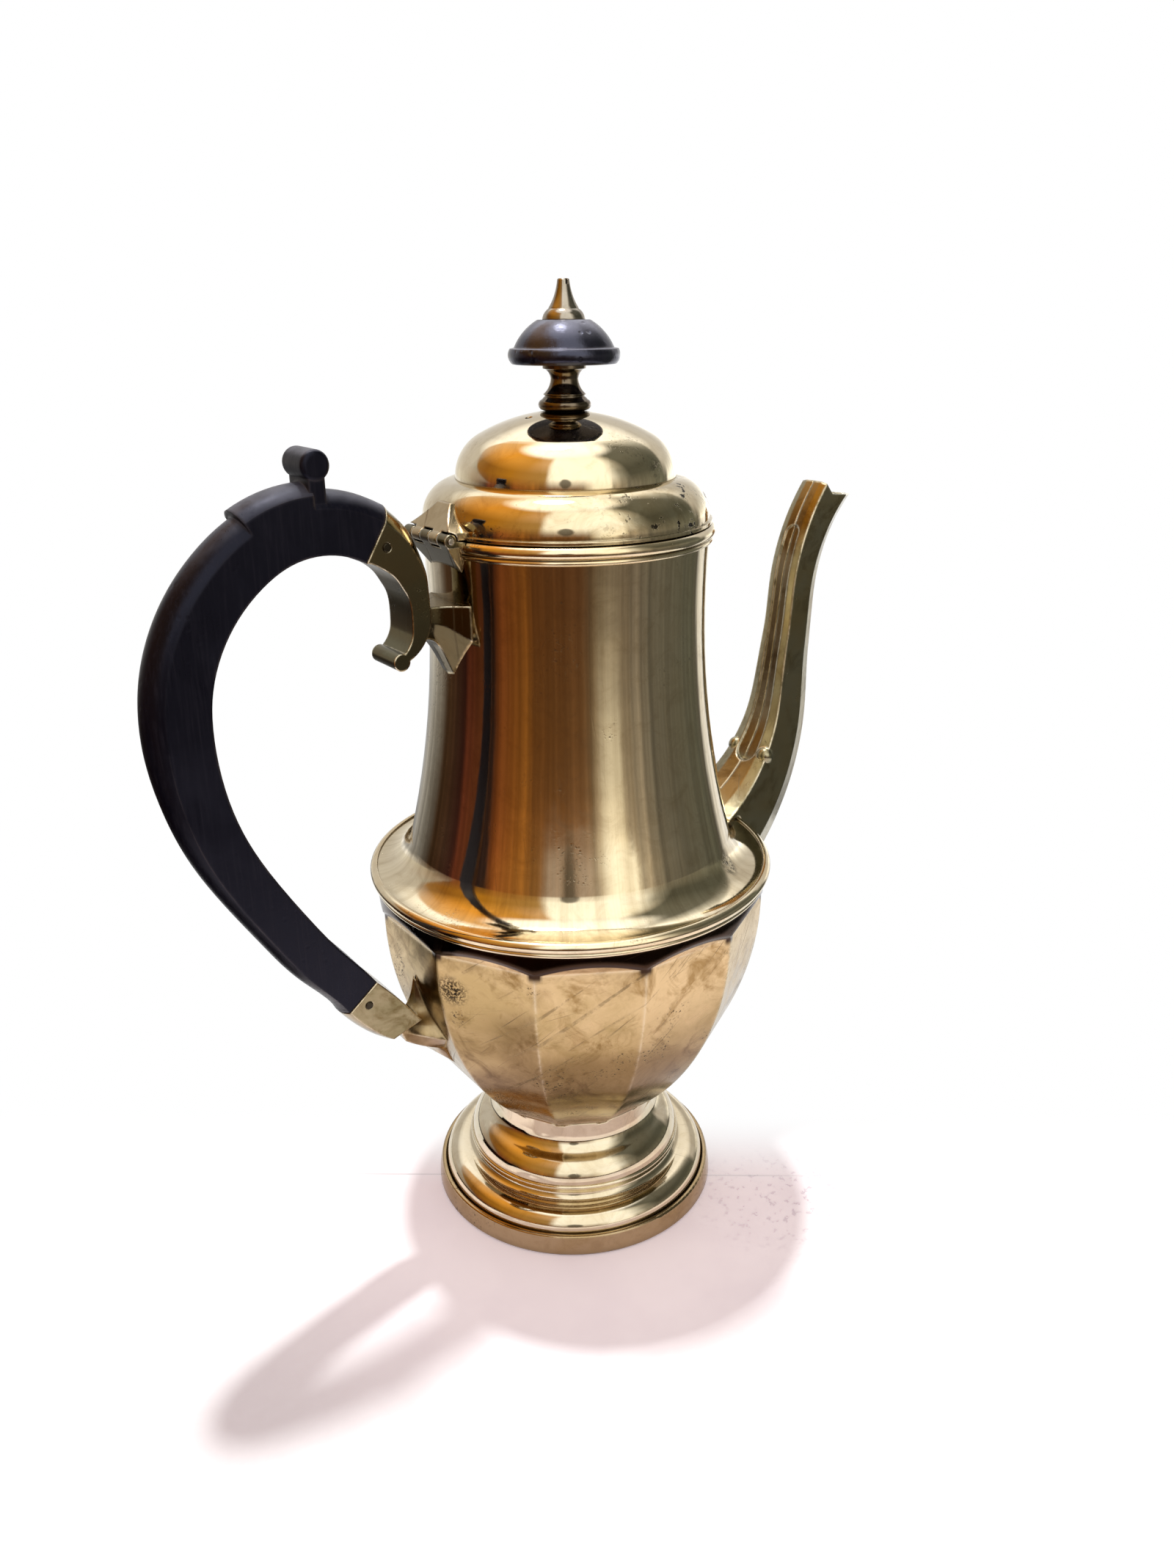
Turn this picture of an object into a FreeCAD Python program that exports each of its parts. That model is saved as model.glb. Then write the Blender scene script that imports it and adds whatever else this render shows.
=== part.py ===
import FreeCAD, Part
import math
import os
import re

import Sketcher
from FreeCAD import Placement, Rotation, Vector

# Coffee pot: panelled bowl on a stepped foot, drawn neck, hinged lid, swan-neck spout, pinned handle.
# Millimetres. The origin is the middle of the base on the table, +Z is up, the spout points along +X.

SIZES = {
    # Sheet metal
    "wall": 1.2,
    "lid_wall": 1.0,
    # Heights, stacked from the table up
    "foot_height": 27.0,
    "bowl_height": 71.8,
    "neck_height": 85.2,
    "rim_height": 2.4,
    "lid_gap": 0.25,
    "lid_band_height": 10.35,
    "dome_rise": 14.9,
    "stem_height": 10.1,
    "knob_height": 9.4,
    "tip_height": 8.6,
    # Bowl and neck
    "shoulder_radius": 50.6,
    "bowl_rim_depth": 2.8,
    "bowl_arc": 79.0,
    "bowl_root_radius": 22.8,
    "bowl_root_rise": 2.0,
    "bowl_floor_radius": 18.0,
    "bowl_floor_drop": 1.5,
    "panel_count": 12,
    "panel_top_inset": 1.9,
    "panel_top_drop": 7.8,
    "panel_bevel": 3.1,
    "panel_bevel_rise": 5.2,
    "panel_root_inset": 0.9,
    "panel_arc": 82.0,
    "flare_radius": 9.4,
    "flare_lean": 14.5,
    "mouth_radius": 34.35,
    # Applied wires
    "shoulder_roll": 1.4,
    "shoulder_fillet": 0.65,
    "mouth_roll": 1.45,
    "mouth_fillet": 0.6,
    "step_wire": 0.75,
    # Foot
    "foot_wall": 1.2,
    "throat_radius": 22.4,
    "throat_length": 1.5,
    "step_radius": 29.2,
    "step_height": 13.2,
    "step_fall": 1.3,
    "cove_share": 0.42,
    "riser_inset": 0.5,
    "skirt_height": 10.2,
    "skirt_cove": 2.0,
    "skirt_round": 4.5,
    "skirt_radius": 36.9,
    "band_radius": 39.2,
    "band_height": 5.6,
    "band_taper": 0.7,
    # Lid
    "lid_lip": 0.6,
    "lid_lip_height": 0.8,
    "lid_band_straight": 1.5,
    "dome_radius": 26.0,
    "dome_ledge": 1.6,
    "dome_crown": 42.0,
    "bezel_wall": 0.8,
    "bezel_depth": 5.5,
    "bezel_clearance": 0.85,
    "vent_diameter": 1.8,
    "vent_radius": 10.0,
    # Finial
    "rod_diameter": 2.4,
    "rod_fit": 0.05,
    "rod_tail": 3.4,
    "nut_flats": 5.5,
    "nut_height": 2.2,
    "washer_radius": 4.5,
    "washer_height": 1.2,
    "stem_bead_radius": 6.1,
    "stem_ledge_radius": 4.95,
    "stem_waist_radius": 3.2,
    "stem_flange_radius": 5.0,
    "knob_radius": 12.95,
    "knob_top_radius": 6.0,
    "knob_rim_height": 3.3,
    "tip_base_radius": 4.9,
    "tip_collar_radius": 3.35,
    "tip_end_radius": 1.4,
    "tip_slot": 0.5,
    "tip_slot_depth": 1.2,
    # Hinge
    "hinge_reach": 2.85,
    "hinge_rise": 0.5,
    "barrel_radius": 1.5,
    "hinge_pin_radius": 0.7,
    "hinge_pin_fit": 0.05,
    "hinge_width": 18.8,
    "knuckle_count": 5,
    "knuckle_gap": 0.25,
    "leaf_reach": 7.0,
    "leaf_drop": 7.6,
    "leaf_tip_width": 5.5,
    "leaf_foot_width": 14.0,
    "leaf_side_radius": 22.0,
    "leaf_clearance": 0.35,
    # Handle
    "handle_width": 10.5,
    "handle_depth": 13.1,
    "handle_crown": 3.6,
    "handle_end_depth": 11.0,
    "handle_end_crown": 1.6,
    "handle_reach": 64.4,
    "handle_rise": 55.2,
    "handle_low_radius": 75.0,
    "handle_low_sweep": 28.0,
    "handle_tail_radius": 255.0,
    "handle_end_stand": 14.43,
    "handle_high_radius": 41.2,
    "handle_high_sweep": 59.0,
    "handle_crest_radius": 26.0,
    "handle_crest_sweep": 62.0,
    "step_block_height": 1.6,
    "step_block_crown": 2.4,
    "step_block_start": 29.5,
    "step_block_end": 1.0,
    "thumb_roll_radius": 3.2,
    "thumb_roll_rise": 11.6,
    "thumb_roll_round": 1.0,
    "thumb_neck": 3.6,
    "tenon_length": 6.5,
    "tenon_depth": 4.6,
    "tenon_width": 6.0,
    "tenon_fit": 0.1,
    "handle_pin_radius": 0.9,
    "handle_pin_inset": 2.7,
    # Sockets and brackets
    "socket_width": 10.9,
    "scroll_radius": 19.0,
    "scroll_sweep": 59.0,
    "scroll_straight": 3.8,
    "scroll_curl_radius": 9.3,
    "scroll_curl_sweep": 68.0,
    "scroll_neck_depth": 5.6,
    "scroll_end_depth": 2.4,
    "scroll_lip_radius": 2.0,
    "upper_bracket_height": 7.3,
    "upper_bracket_width": 9.0,
    "upper_bracket_drop": 16.3,
    "upper_bracket_spread": 15.0,
    "upper_bracket_set": 1.0,
    "lower_socket_length": 16.6,
    "lower_socket_turn": 20.0,
    "lower_socket_end_depth": 9.8,
    "lower_bracket_run": 12.5,
    "lower_bracket_fall": 5.2,
    "lower_bracket_lean": 112.0,
    "lower_bracket_height": 7.6,
    "lower_bracket_width": 9.6,
    "lower_bracket_span": 35.5,
    "lower_bracket_spread": 22.0,
    "lower_bracket_waist": 0.36,
    # Spout
    "spout_wall": 1.1,
    "spout_reach": 1.0,
    "spout_drop": 9.2,
    "spout_root_lean": 30.0,
    "spout_root_length": 16.0,
    "spout_low_radius": 51.0,
    "spout_low_sweep": 54.8,
    "spout_straight": 30.0,
    "spout_high_radius": 46.0,
    "spout_high_sweep": 36.5,
    "spout_tip_length": 9.0,
    "spout_root_depth": 27.0,
    "spout_root_width": 25.0,
    "spout_depth": 10.6,
    "spout_width": 9.7,
    "spout_taper": 1.75,
    "spout_width_taper": 2.0,
    "spout_mouth_depth": 13.2,
    "spout_mouth_width": 9.2,
    "spout_inner_bevel": 0.045,
    "spout_outer_bevel": 0.33,
    "spout_inner_flat": 0.58,
    "spout_outer_flat": 0.6,
    "spout_tip_flat": 0.2,
    "channel_depth": 0.45,
    "channel_share": 0.86,
    "drop_radius": 2.4,
    "drop_rise": 0.6,
    "strainer_hole": 3.8,
    "strainer_pitch": 5.8,
    "strainer_drop": 13.5,
}

# Levels and lengths that follow from the sizes above
DERIVED = {
    "bowl_floor_z": "foot_height - bowl_floor_drop",
    "bowl_root_z": "foot_height + bowl_root_rise",
    "seam_z": "foot_height + bowl_height",
    "bowl_rim_z": "seam_z - bowl_rim_depth",
    "panel_top_z": "seam_z - panel_top_drop",
    "panel_top_radius": "shoulder_radius - panel_top_inset",
    "panel_root_radius": "bowl_root_radius - panel_root_inset",
    "shoulder_z": "seam_z + wall",
    "flare_r": "shoulder_radius - flare_radius * cos(flare_lean)",
    "flare_z": "shoulder_z + flare_radius * (1 - sin(flare_lean))",
    "mouth_z": "seam_z + neck_height",
    "neck_run": "flare_r - mouth_radius",
    "neck_climb": "mouth_z - flare_z",
    "neck_offset": "neck_climb * sin(flare_lean) - neck_run * cos(flare_lean)",
    "neck_arc": "(neck_run ^ 2 + neck_climb ^ 2) / (2 * neck_offset)",
    "rim_z": "mouth_z + rim_height",
    "lid_z": "rim_z + lid_gap",
    "dome_z": "lid_z + lid_band_height",
    "dome_top_z": "dome_z + dome_rise",
    "dome_corner": "(2 * dome_crown * dome_rise - dome_radius ^ 2 - dome_rise ^ 2)"
                   " / (2 * (dome_crown - dome_radius))",
    "dome_turn": "dome_crown / (dome_crown - dome_corner)",
    "dome_turn_r": "(dome_radius - dome_corner) * dome_turn",
    "dome_turn_z": "dome_top_z - dome_crown + (dome_crown - dome_rise) * dome_turn",
    "knob_z": "dome_top_z + stem_height",
    "tip_z": "knob_z + knob_height",
    "top_z": "tip_z + tip_height",
    "rod_hole": "rod_diameter / 2 + rod_fit",
    "cove_run": "step_radius - throat_radius",
    "cove_fall": "foot_height - throat_length - step_height - step_fall",
    "cove_sum": "(cove_run ^ 2 + cove_fall ^ 2) / (2 * cove_run)",
    "band_arc_z": "lid_z + lid_band_straight",
    "band_edge": "mouth_radius - 0.25",
    "hinge_x": "-(mouth_radius + hinge_reach)",
    "hinge_z": "rim_z + hinge_rise",
    "knuckle_length": "(hinge_width - (knuckle_count - 1) * knuckle_gap) / knuckle_count",
    "handle_x": "-(mouth_radius + handle_reach)",
    "handle_z": "seam_z + handle_rise",
    "crest_x": "handle_x + handle_high_radius"
               " - (handle_high_radius - handle_crest_radius) * cos(handle_high_sweep)",
    "crest_z": "handle_z + (handle_high_radius - handle_crest_radius) * sin(handle_high_sweep)",
}

FUNCTIONS = ("cos", "sin", "sqrt")

doc = FreeCAD.newDocument("coffee_pot")
sheet = doc.addObject("Spreadsheet::Sheet", "Sizes")
for row, (alias, number) in enumerate(SIZES.items(), start=1):
    sheet.set(f"A{row}", alias)
    sheet.set(f"B{row}", str(number))
    sheet.setAlias(f"B{row}", alias)
doc.recompute()


def bound(text):
    """A formula in plain names, written out for the sheet."""
    def cell(match):
        word = match.group()
        if word in FUNCTIONS:
            return word
        if word in DERIVED:
            return "(" + bound(DERIVED[word]) + ")"
        return "Sizes." + word
    return re.sub(r"[a-z][a-z0-9_]*", cell, str(text))


def value(text):
    """The number that a formula in plain names stands for."""
    return float(sheet.evalExpression(bound(text)))


def origin_plane(body, role):
    return [feature for feature in body.Origin.OriginFeatures if feature.Role == role][0]


def arc_through(start, end, radius, side):
    """The short arc between two points, with its middle to the left or right of the way along it."""
    chord = end - start
    middle = (start + end) * 0.5
    sagitta = math.sqrt(max(radius ** 2 - (chord.Length / 2) ** 2, 0.0))
    across = Vector(-chord.y, chord.x, 0).normalize() * sagitta
    centre = middle + across if side == "left" else middle - across
    first, last = (start, end) if side == "left" else (end, start)
    angles = [math.atan2(point.y - centre.y, point.x - centre.x) for point in (first, last)]
    return Part.ArcOfCircle(Part.Circle(centre, Vector(0, 0, 1), radius), *angles)


def outline(body, name, points, role="XZ_Plane"):
    """A closed sketch through points (x, y), or (x, y, radius, side) where an arc arrives, all bound."""
    sketch = body.newObject("Sketcher::SketchObject", name)
    sketch.AttachmentSupport = [(origin_plane(body, role), "")]
    sketch.MapMode = "FlatFace"
    places = [Vector(value(point[0]), value(point[1]), 0) for point in points]
    constraints = []
    formulas = {}
    ends = []
    for index, point in enumerate(points):
        start = places[index - 1]
        end = places[index]
        if len(point) == 2:
            geometry = sketch.addGeometry(Part.LineSegment(start, end), False)
            ends.append((geometry, 1, 2))
        else:
            radius, side = point[2:]
            arc = arc_through(start, end, value(radius), side)
            geometry = sketch.addGeometry(arc, False)
            ends.append((geometry, 1, 2) if side == "left" else (geometry, 2, 1))
            formulas[len(constraints)] = radius
            constraints.append(Sketcher.Constraint("Radius", geometry, value(radius)))
    for index, point in enumerate(points):
        geometry, _, last = ends[index]
        following, first, _ = ends[(index + 1) % len(ends)]
        constraints.append(Sketcher.Constraint("Coincident", geometry, last, following, first))
        for kind, formula in (("DistanceX", point[0]), ("DistanceY", point[1])):
            formulas[len(constraints)] = formula
            constraints.append(Sketcher.Constraint(kind, -1, 1, geometry, last, value(formula)))
    sketch.addConstraint(constraints)
    for index, formula in formulas.items():
        sketch.setExpression(f"Constraints[{index}]", bound(formula))
    return sketch


def new_body(label):
    body = doc.addObject("PartDesign::Body", label)
    body.Label = label
    return body


def revolved(label, points):
    """A turned or spun piece: its half outline, r and z, turned round the pot's axis."""
    body = new_body(label)
    sketch = outline(body, label + "_outline", points)
    turn = body.newObject("PartDesign::Revolution", label + "_turn")
    turn.Profile = sketch
    turn.ReferenceAxis = (sketch, ["V_Axis"])
    turn.Angle = 360
    return body


def padded(label, points, width):
    """A flat piece: its side outline, x and z, as thick as given and centred on the middle plane."""
    body = new_body(label)
    sketch = outline(body, label + "_outline", points)
    pad = body.newObject("PartDesign::Pad", label + "_pad")
    pad.Profile = sketch
    pad.Midplane = True
    pad.setExpression("Length", bound(width))
    return body


def feature(label, shape):
    """A piece whose form is set directly from the sizes."""
    item = doc.addObject("Part::Feature", label)
    item.Label = label
    item.Shape = shape
    return item


def cut(label, base, *tools):
    """A piece cut back to the faces of the pieces it is fitted to."""
    for index, tool in enumerate(tools):
        item = doc.addObject("Part::Cut", f"{label}_cut_{index}")
        item.Base = base
        item.Tool = tool
        base = item
    base.Label = label
    return base


def fused(label, *pieces):
    item = doc.addObject("Part::MultiFuse", label)
    item.Shapes = list(pieces)
    item.Label = label
    return item


def cylinder_y(label, radius, length, x, z):
    """A round rod across the pot, centred on the middle plane."""
    rod = doc.addObject("Part::Cylinder", label)
    rod.Label = label
    rod.setExpression("Radius", bound(radius))
    rod.setExpression("Height", bound(length))
    rod.Placement = Placement(Vector(x, value(length) / 2, z), Rotation(Vector(1, 0, 0), 90))
    return rod


def in_plane(x, z, y=0.0):
    return Vector(x, y, z)


# Bowl and neck


def bowl_solid(label, inset, top):
    """The bowl as a solid: a round blank with a flat swept down each panel. Inset makes its inside."""
    body = revolved(label, [
        ("0", f"bowl_floor_z + {inset}"),
        ("bowl_floor_radius", f"bowl_floor_z + {inset}"),
        (f"bowl_root_radius - {inset}", f"bowl_root_z + {inset}"),
        (f"shoulder_radius - {inset}", "bowl_rim_z", f"bowl_arc - {inset}", "left"),
        (f"shoulder_radius - {inset}", top),
        ("0", top),
    ])
    sketch = outline(body, label + "_panel", [
        (f"panel_root_radius - {inset}", "0"),
        (f"panel_root_radius - {inset}", f"bowl_root_z + {inset}"),
        (f"panel_top_radius - {inset}", "panel_top_z", f"panel_arc - {inset}", "left"),
        (f"panel_top_radius + panel_bevel - {inset}", "panel_top_z + panel_bevel_rise"),
        ("2 * shoulder_radius", "panel_top_z + panel_bevel_rise"),
        ("2 * shoulder_radius", "0"),
    ])
    flat = body.newObject("PartDesign::Pocket", label + "_flat")
    flat.Profile = sketch
    flat.Midplane = True
    flat.setExpression("Length", bound("2 * shoulder_radius"))
    pattern = body.newObject("PartDesign::PolarPattern", label + "_panels")
    pattern.Originals = [flat]
    pattern.Axis = (sketch, ["V_Axis"])
    pattern.Angle = 360
    pattern.setExpression("Occurrences", bound("panel_count"))
    body.Tip = pattern
    return body


def strainer_holes():
    """A square of holes through the bowl wall behind the spout."""
    pitch = value("strainer_pitch")
    level = value("seam_z - strainer_drop")
    length = value("shoulder_radius")
    holes = [
        Part.makeCylinder(value("strainer_hole") / 2, length, Vector(0.6 * length, y, z), Vector(1, 0, 0))
        for y in (-pitch, 0, pitch)
        for z in (level - pitch, level, level + pitch)
    ]
    return feature("strainer_drill", Part.makeCompound(holes))


bowl_outside = bowl_solid("bowl_outside", "0", "seam_z")
bowl_inside = bowl_solid("bowl_inside", "wall", "seam_z + wall")
bowl_shell = cut("bowl_shell", bowl_outside, bowl_inside, strainer_holes())

neck_shell = revolved("neck_shell", [
    ("shoulder_radius", "seam_z", "flare_radius + wall", "left"),
    ("shoulder_radius", "shoulder_z"),
    ("flare_r", "flare_z", "flare_radius", "right"),
    ("mouth_radius", "mouth_z", "neck_arc", "right"),
    ("mouth_radius - wall", "mouth_z"),
    ("flare_r - wall * cos(flare_lean)", "flare_z - wall * sin(flare_lean)", "neck_arc + wall", "left"),
])
neck_outside = revolved("neck_outside", [
    ("0", "seam_z"),
    ("shoulder_radius", "seam_z"),
    ("shoulder_radius", "shoulder_z"),
    ("flare_r", "flare_z", "flare_radius", "right"),
    ("mouth_radius", "mouth_z", "neck_arc", "right"),
    ("0", "mouth_z"),
])

shoulder_bead = revolved("shoulder_bead", [
    ("shoulder_radius", "shoulder_z - 2 * shoulder_roll - 2 * shoulder_fillet + 0.5"),
    ("shoulder_radius + 0.6", "shoulder_z - 2 * shoulder_roll - 2 * shoulder_fillet + 0.5"),
    ("shoulder_radius + 0.6", "shoulder_z - 2 * shoulder_roll + 0.4", "shoulder_fillet", "left"),
    ("shoulder_radius + 0.6", "shoulder_z + 0.4", "shoulder_roll + 0.02", "left"),
    ("shoulder_radius", "shoulder_z + 0.4"),
])

mouth_bead = revolved("mouth_bead", [
    ("mouth_radius - wall", "mouth_z"),
    ("mouth_radius", "mouth_z"),
    ("mouth_radius", "rim_z - 2 * mouth_roll - 2 * mouth_fillet"),
    ("mouth_radius + 0.3", "rim_z - 2 * mouth_roll - 2 * mouth_fillet"),
    ("mouth_radius + 0.3", "rim_z - 2 * mouth_roll", "mouth_fillet + 0.02", "left"),
    ("mouth_radius + 0.1", "rim_z - 2 * mouth_roll"),
    ("mouth_radius + 0.1", "rim_z", "mouth_roll + 0.02", "left"),
    ("mouth_radius - wall", "rim_z"),
])


# Foot

foot_solid = revolved("foot_solid", [
    ("skirt_radius - foot_wall", "0"),
    ("skirt_radius", "0"),
    ("skirt_radius", "skirt_height - skirt_round"),
    ("skirt_radius - skirt_round", "skirt_height", "skirt_round", "left"),
    ("step_radius - riser_inset + skirt_cove", "skirt_height"),
    ("step_radius - riser_inset", "skirt_height + skirt_cove", "skirt_cove", "right"),
    ("step_radius - riser_inset", "step_height"),
    ("step_radius", "step_height"),
    ("step_radius", "step_height + step_fall"),
    ("throat_radius + cove_run * cove_share", "step_height + step_fall + cove_fall * (1 - cove_share)",
     "cove_sum * (1 - cove_share)", "left"),
    ("throat_radius", "foot_height - throat_length", "cove_sum * cove_share", "right"),
    ("throat_radius", "foot_height + 4 * bowl_root_rise"),
    ("throat_radius - foot_wall", "foot_height + 4 * bowl_root_rise"),
    ("throat_radius - foot_wall", "foot_height - throat_length"),
    ("throat_radius - foot_wall + cove_run * (cove_share + foot_wall / cove_sum)",
     "step_height + step_fall + cove_fall * (1 - cove_share - foot_wall / cove_sum)",
     "cove_sum * cove_share + foot_wall", "left"),
    ("step_radius - foot_wall", "step_height + step_fall", "cove_sum * (1 - cove_share) - foot_wall", "right"),
    ("step_radius - foot_wall - riser_inset", "step_height"),
    ("step_radius - foot_wall - riser_inset", "skirt_height + skirt_cove"),
    ("step_radius - riser_inset + skirt_cove", "skirt_height - foot_wall", "skirt_cove + foot_wall", "left"),
    ("skirt_radius - skirt_round", "skirt_height - foot_wall"),
    ("skirt_radius - foot_wall", "skirt_height - skirt_round", "skirt_round - foot_wall", "right"),
])
pedestal_foot = cut("pedestal_foot", foot_solid, bowl_outside)

foot_bead = revolved("foot_bead", [
    ("step_radius", "step_height"),
    ("step_radius", "step_height + 2 * step_wire", "step_wire + 0.02", "left"),
])

base_band = revolved("base_band", [
    ("skirt_radius", "0"),
    ("band_radius - 0.5", "0"),
    ("band_radius", "0.6"),
    ("band_radius - band_taper", "band_height - 0.5", "3 * band_height", "left"),
    ("band_radius - band_taper - 0.5", "band_height", "0.55", "left"),
    ("skirt_radius + 0.5", "band_height"),
    ("skirt_radius", "band_height - 0.6"),
])


# Lid

lid_band = revolved("lid_band", [
    ("band_edge - lid_wall", "lid_z"),
    ("band_edge + lid_lip", "lid_z"),
    ("band_edge + lid_lip", "lid_z + lid_lip_height"),
    ("band_edge", "lid_z + lid_lip_height"),
    ("band_edge", "band_arc_z"),
    ("dome_radius + 0.2", "dome_z", "dome_z - band_arc_z + 0.06", "left"),
    ("dome_radius - dome_ledge", "dome_z"),
    ("dome_radius - dome_ledge", "dome_z - lid_wall"),
    ("dome_radius + 0.2", "dome_z - lid_wall"),
    ("band_edge - lid_wall", "band_arc_z", "dome_z - band_arc_z - lid_wall + 0.06", "right"),
])

lid_dome = revolved("lid_dome_blank", [
    ("dome_radius", "dome_z"),
    ("dome_turn_r", "dome_turn_z", "dome_corner", "left"),
    ("rod_hole", "dome_top_z - dome_crown + sqrt(dome_crown ^ 2 - rod_hole ^ 2)", "dome_crown", "left"),
    ("rod_hole", "dome_top_z - dome_crown + sqrt((dome_crown - lid_wall) ^ 2 - rod_hole ^ 2)"),
    ("dome_turn_r * (1 - lid_wall / dome_crown)",
     "dome_turn_z - (dome_turn_z - dome_top_z + dome_crown) * lid_wall / dome_crown",
     "dome_crown - lid_wall", "right"),
    ("dome_radius - lid_wall", "dome_z", "dome_corner - lid_wall", "right"),
])
vent = feature("vent_drill", Part.makeCylinder(
    value("vent_diameter") / 2, value("2 * dome_rise"),
    Vector(-value("vent_radius"), 0, value("dome_z"))))
lid_dome = cut("lid_dome", lid_dome, vent)

lid_bezel = revolved("lid_bezel", [
    ("mouth_radius - wall - bezel_clearance - bezel_wall", "lid_z - bezel_depth"),
    ("mouth_radius - wall - bezel_clearance", "lid_z - bezel_depth"),
    ("mouth_radius - wall - bezel_clearance", "lid_z + 0.3"),
    ("band_edge - lid_wall", "lid_z + 0.3"),
    ("band_edge - lid_wall", "band_arc_z"),
    ("mouth_radius - wall - bezel_clearance - bezel_wall", "band_arc_z"),
])


# Finial

stem_blank = revolved("stem_blank", [
    ("rod_hole", "dome_top_z - 0.7 * lid_wall"),
    ("stem_ledge_radius - 0.45", "dome_top_z - 0.7 * lid_wall"),
    ("stem_ledge_radius - 0.45", "dome_top_z - 0.2"),
    ("stem_bead_radius - 0.7", "dome_top_z + 0.1"),
    ("stem_bead_radius - 0.7", "dome_top_z + 2.3", "1.2", "left"),
    ("stem_ledge_radius - 0.4", "dome_top_z + 3.1"),
    ("stem_ledge_radius", "dome_top_z + 3.5"),
    ("stem_waist_radius", "dome_top_z + 0.68 * stem_height", "0.45 * stem_height", "right"),
    ("stem_flange_radius - 0.6", "knob_z - 1.2", "0.28 * stem_height", "right"),
    ("stem_flange_radius", "knob_z - 1.0"),
    ("stem_flange_radius", "knob_z"),
    ("rod_hole", "knob_z"),
])
finial_stem = cut("finial_stem", stem_blank, lid_dome)

finial_knob = revolved("finial_knob", [
    ("rod_hole", "knob_z"),
    ("knob_radius - 1.0", "knob_z"),
    ("knob_radius - 0.55", "knob_z + knob_rim_height", "0.75 * knob_rim_height", "left"),
    ("knob_radius - 1.5", "knob_z + knob_rim_height + 0.2"),
    ("knob_top_radius", "tip_z", "1.35 * knob_height", "left"),
    ("rod_hole", "tip_z"),
])

tip_blank = revolved("tip_blank", [
    ("rod_hole", "tip_z"),
    ("tip_base_radius", "tip_z"),
    ("tip_collar_radius + 0.1", "tip_z + 0.27 * tip_height", "0.36 * tip_height", "left"),
    ("tip_collar_radius", "tip_z + 0.3 * tip_height"),
    ("tip_end_radius", "top_z - 0.4", "1.5 * tip_height", "right"),
    ("tip_end_radius - 0.4", "top_z", "0.45", "left"),
    ("0", "top_z"),
    ("0", "tip_z + 0.42 * tip_height"),
    ("rod_hole", "tip_z + 0.42 * tip_height"),
])
slot = doc.addObject("Part::Box", "tip_slot")
slot.setExpression("Length", bound("tip_slot"))
slot.setExpression("Width", bound("4 * tip_end_radius"))
slot.setExpression("Height", bound("2 * tip_slot_depth"))
slot.Placement = Placement(
    Vector(-value("tip_slot") / 2, -2 * value("tip_end_radius"), value("top_z - tip_slot_depth")), Rotation())
finial_tip = cut("finial_tip", tip_blank, slot)

finial_rod = revolved("finial_rod", [
    ("0", "dome_top_z - lid_wall - washer_height - nut_height - rod_tail"),
    ("rod_diameter / 2", "dome_top_z - lid_wall - washer_height - nut_height - rod_tail"),
    ("rod_diameter / 2", "tip_z + 0.4 * tip_height"),
    ("0", "tip_z + 0.4 * tip_height"),
])

washer_blank = revolved("washer_blank", [
    ("rod_hole", "dome_top_z - lid_wall - washer_height"),
    ("washer_radius", "dome_top_z - lid_wall - washer_height"),
    ("washer_radius", "dome_top_z - 0.6 * lid_wall"),
    ("rod_hole", "dome_top_z - 0.6 * lid_wall"),
])
finial_washer = cut("finial_washer", washer_blank, lid_dome)

nut_blank = doc.addObject("Part::Prism", "nut_blank")
nut_blank.Polygon = 6
nut_blank.setExpression("Circumradius", bound("nut_flats / sqrt(3)"))
nut_blank.setExpression("Height", bound("nut_height"))
nut_blank.Placement = Placement(Vector(0, 0, value("dome_top_z - lid_wall - washer_height - nut_height")), Rotation())
nut_bore = doc.addObject("Part::Cylinder", "nut_bore")
nut_bore.setExpression("Radius", bound("rod_hole"))
nut_bore.setExpression("Height", bound("3 * nut_height"))
nut_bore.Placement = Placement(Vector(0, 0, value("dome_top_z - lid_wall - washer_height - 2 * nut_height")), Rotation())
finial_nut = cut("finial_nut", nut_blank, nut_bore)


# Hinge


def knuckles(label, first, radius, extra):
    """Every second knuckle of the barrel, as solid rods across the pot."""
    length = value("knuckle_length") + 2 * extra
    pitch = value("knuckle_length + knuckle_gap")
    rods = []
    for index in range(first, int(value("knuckle_count")), 2):
        start = -value("hinge_width") / 2 + index * pitch - extra
        rods.append(Part.makeCylinder(radius, length, in_plane(value("hinge_x"), value("hinge_z"), start),
                                      Vector(0, 1, 0)))
    return feature(label, Part.makeCompound(rods))


def leaf_front(label, points):
    """The leaf as seen along the pot, cut out of a thick slab."""
    body = new_body(label)
    sketch = outline(body, label + "_outline", points, "YZ_Plane")
    pad = body.newObject("PartDesign::Pad", label + "_pad")
    pad.Profile = sketch
    pad.Midplane = True
    pad.setExpression("Length", bound("6 * mouth_radius"))
    return body


def hinge_leaf(label, side, front, first, keep_clear):
    """A leaf with its own knuckles, notched round the other leaf's knuckles and drilled for the pin."""
    blank = doc.addObject("Part::Common", label + "_blank")
    blank.Base = side
    blank.Tool = front
    other = knuckles(label + "_notch", 1 - first, value("barrel_radius + leaf_clearance"), value("knuckle_gap"))
    notched = cut(label + "_notched", blank, other, *keep_clear)
    barrel = knuckles(label + "_barrel", first, value("barrel_radius"), 0.0)
    whole = fused(label + "_whole", notched, barrel)
    bore = cylinder_y(label + "_bore", "hinge_pin_radius + hinge_pin_fit", "2 * hinge_width",
                      value("hinge_x"), value("hinge_z"))
    return cut(label, whole, bore)


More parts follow.
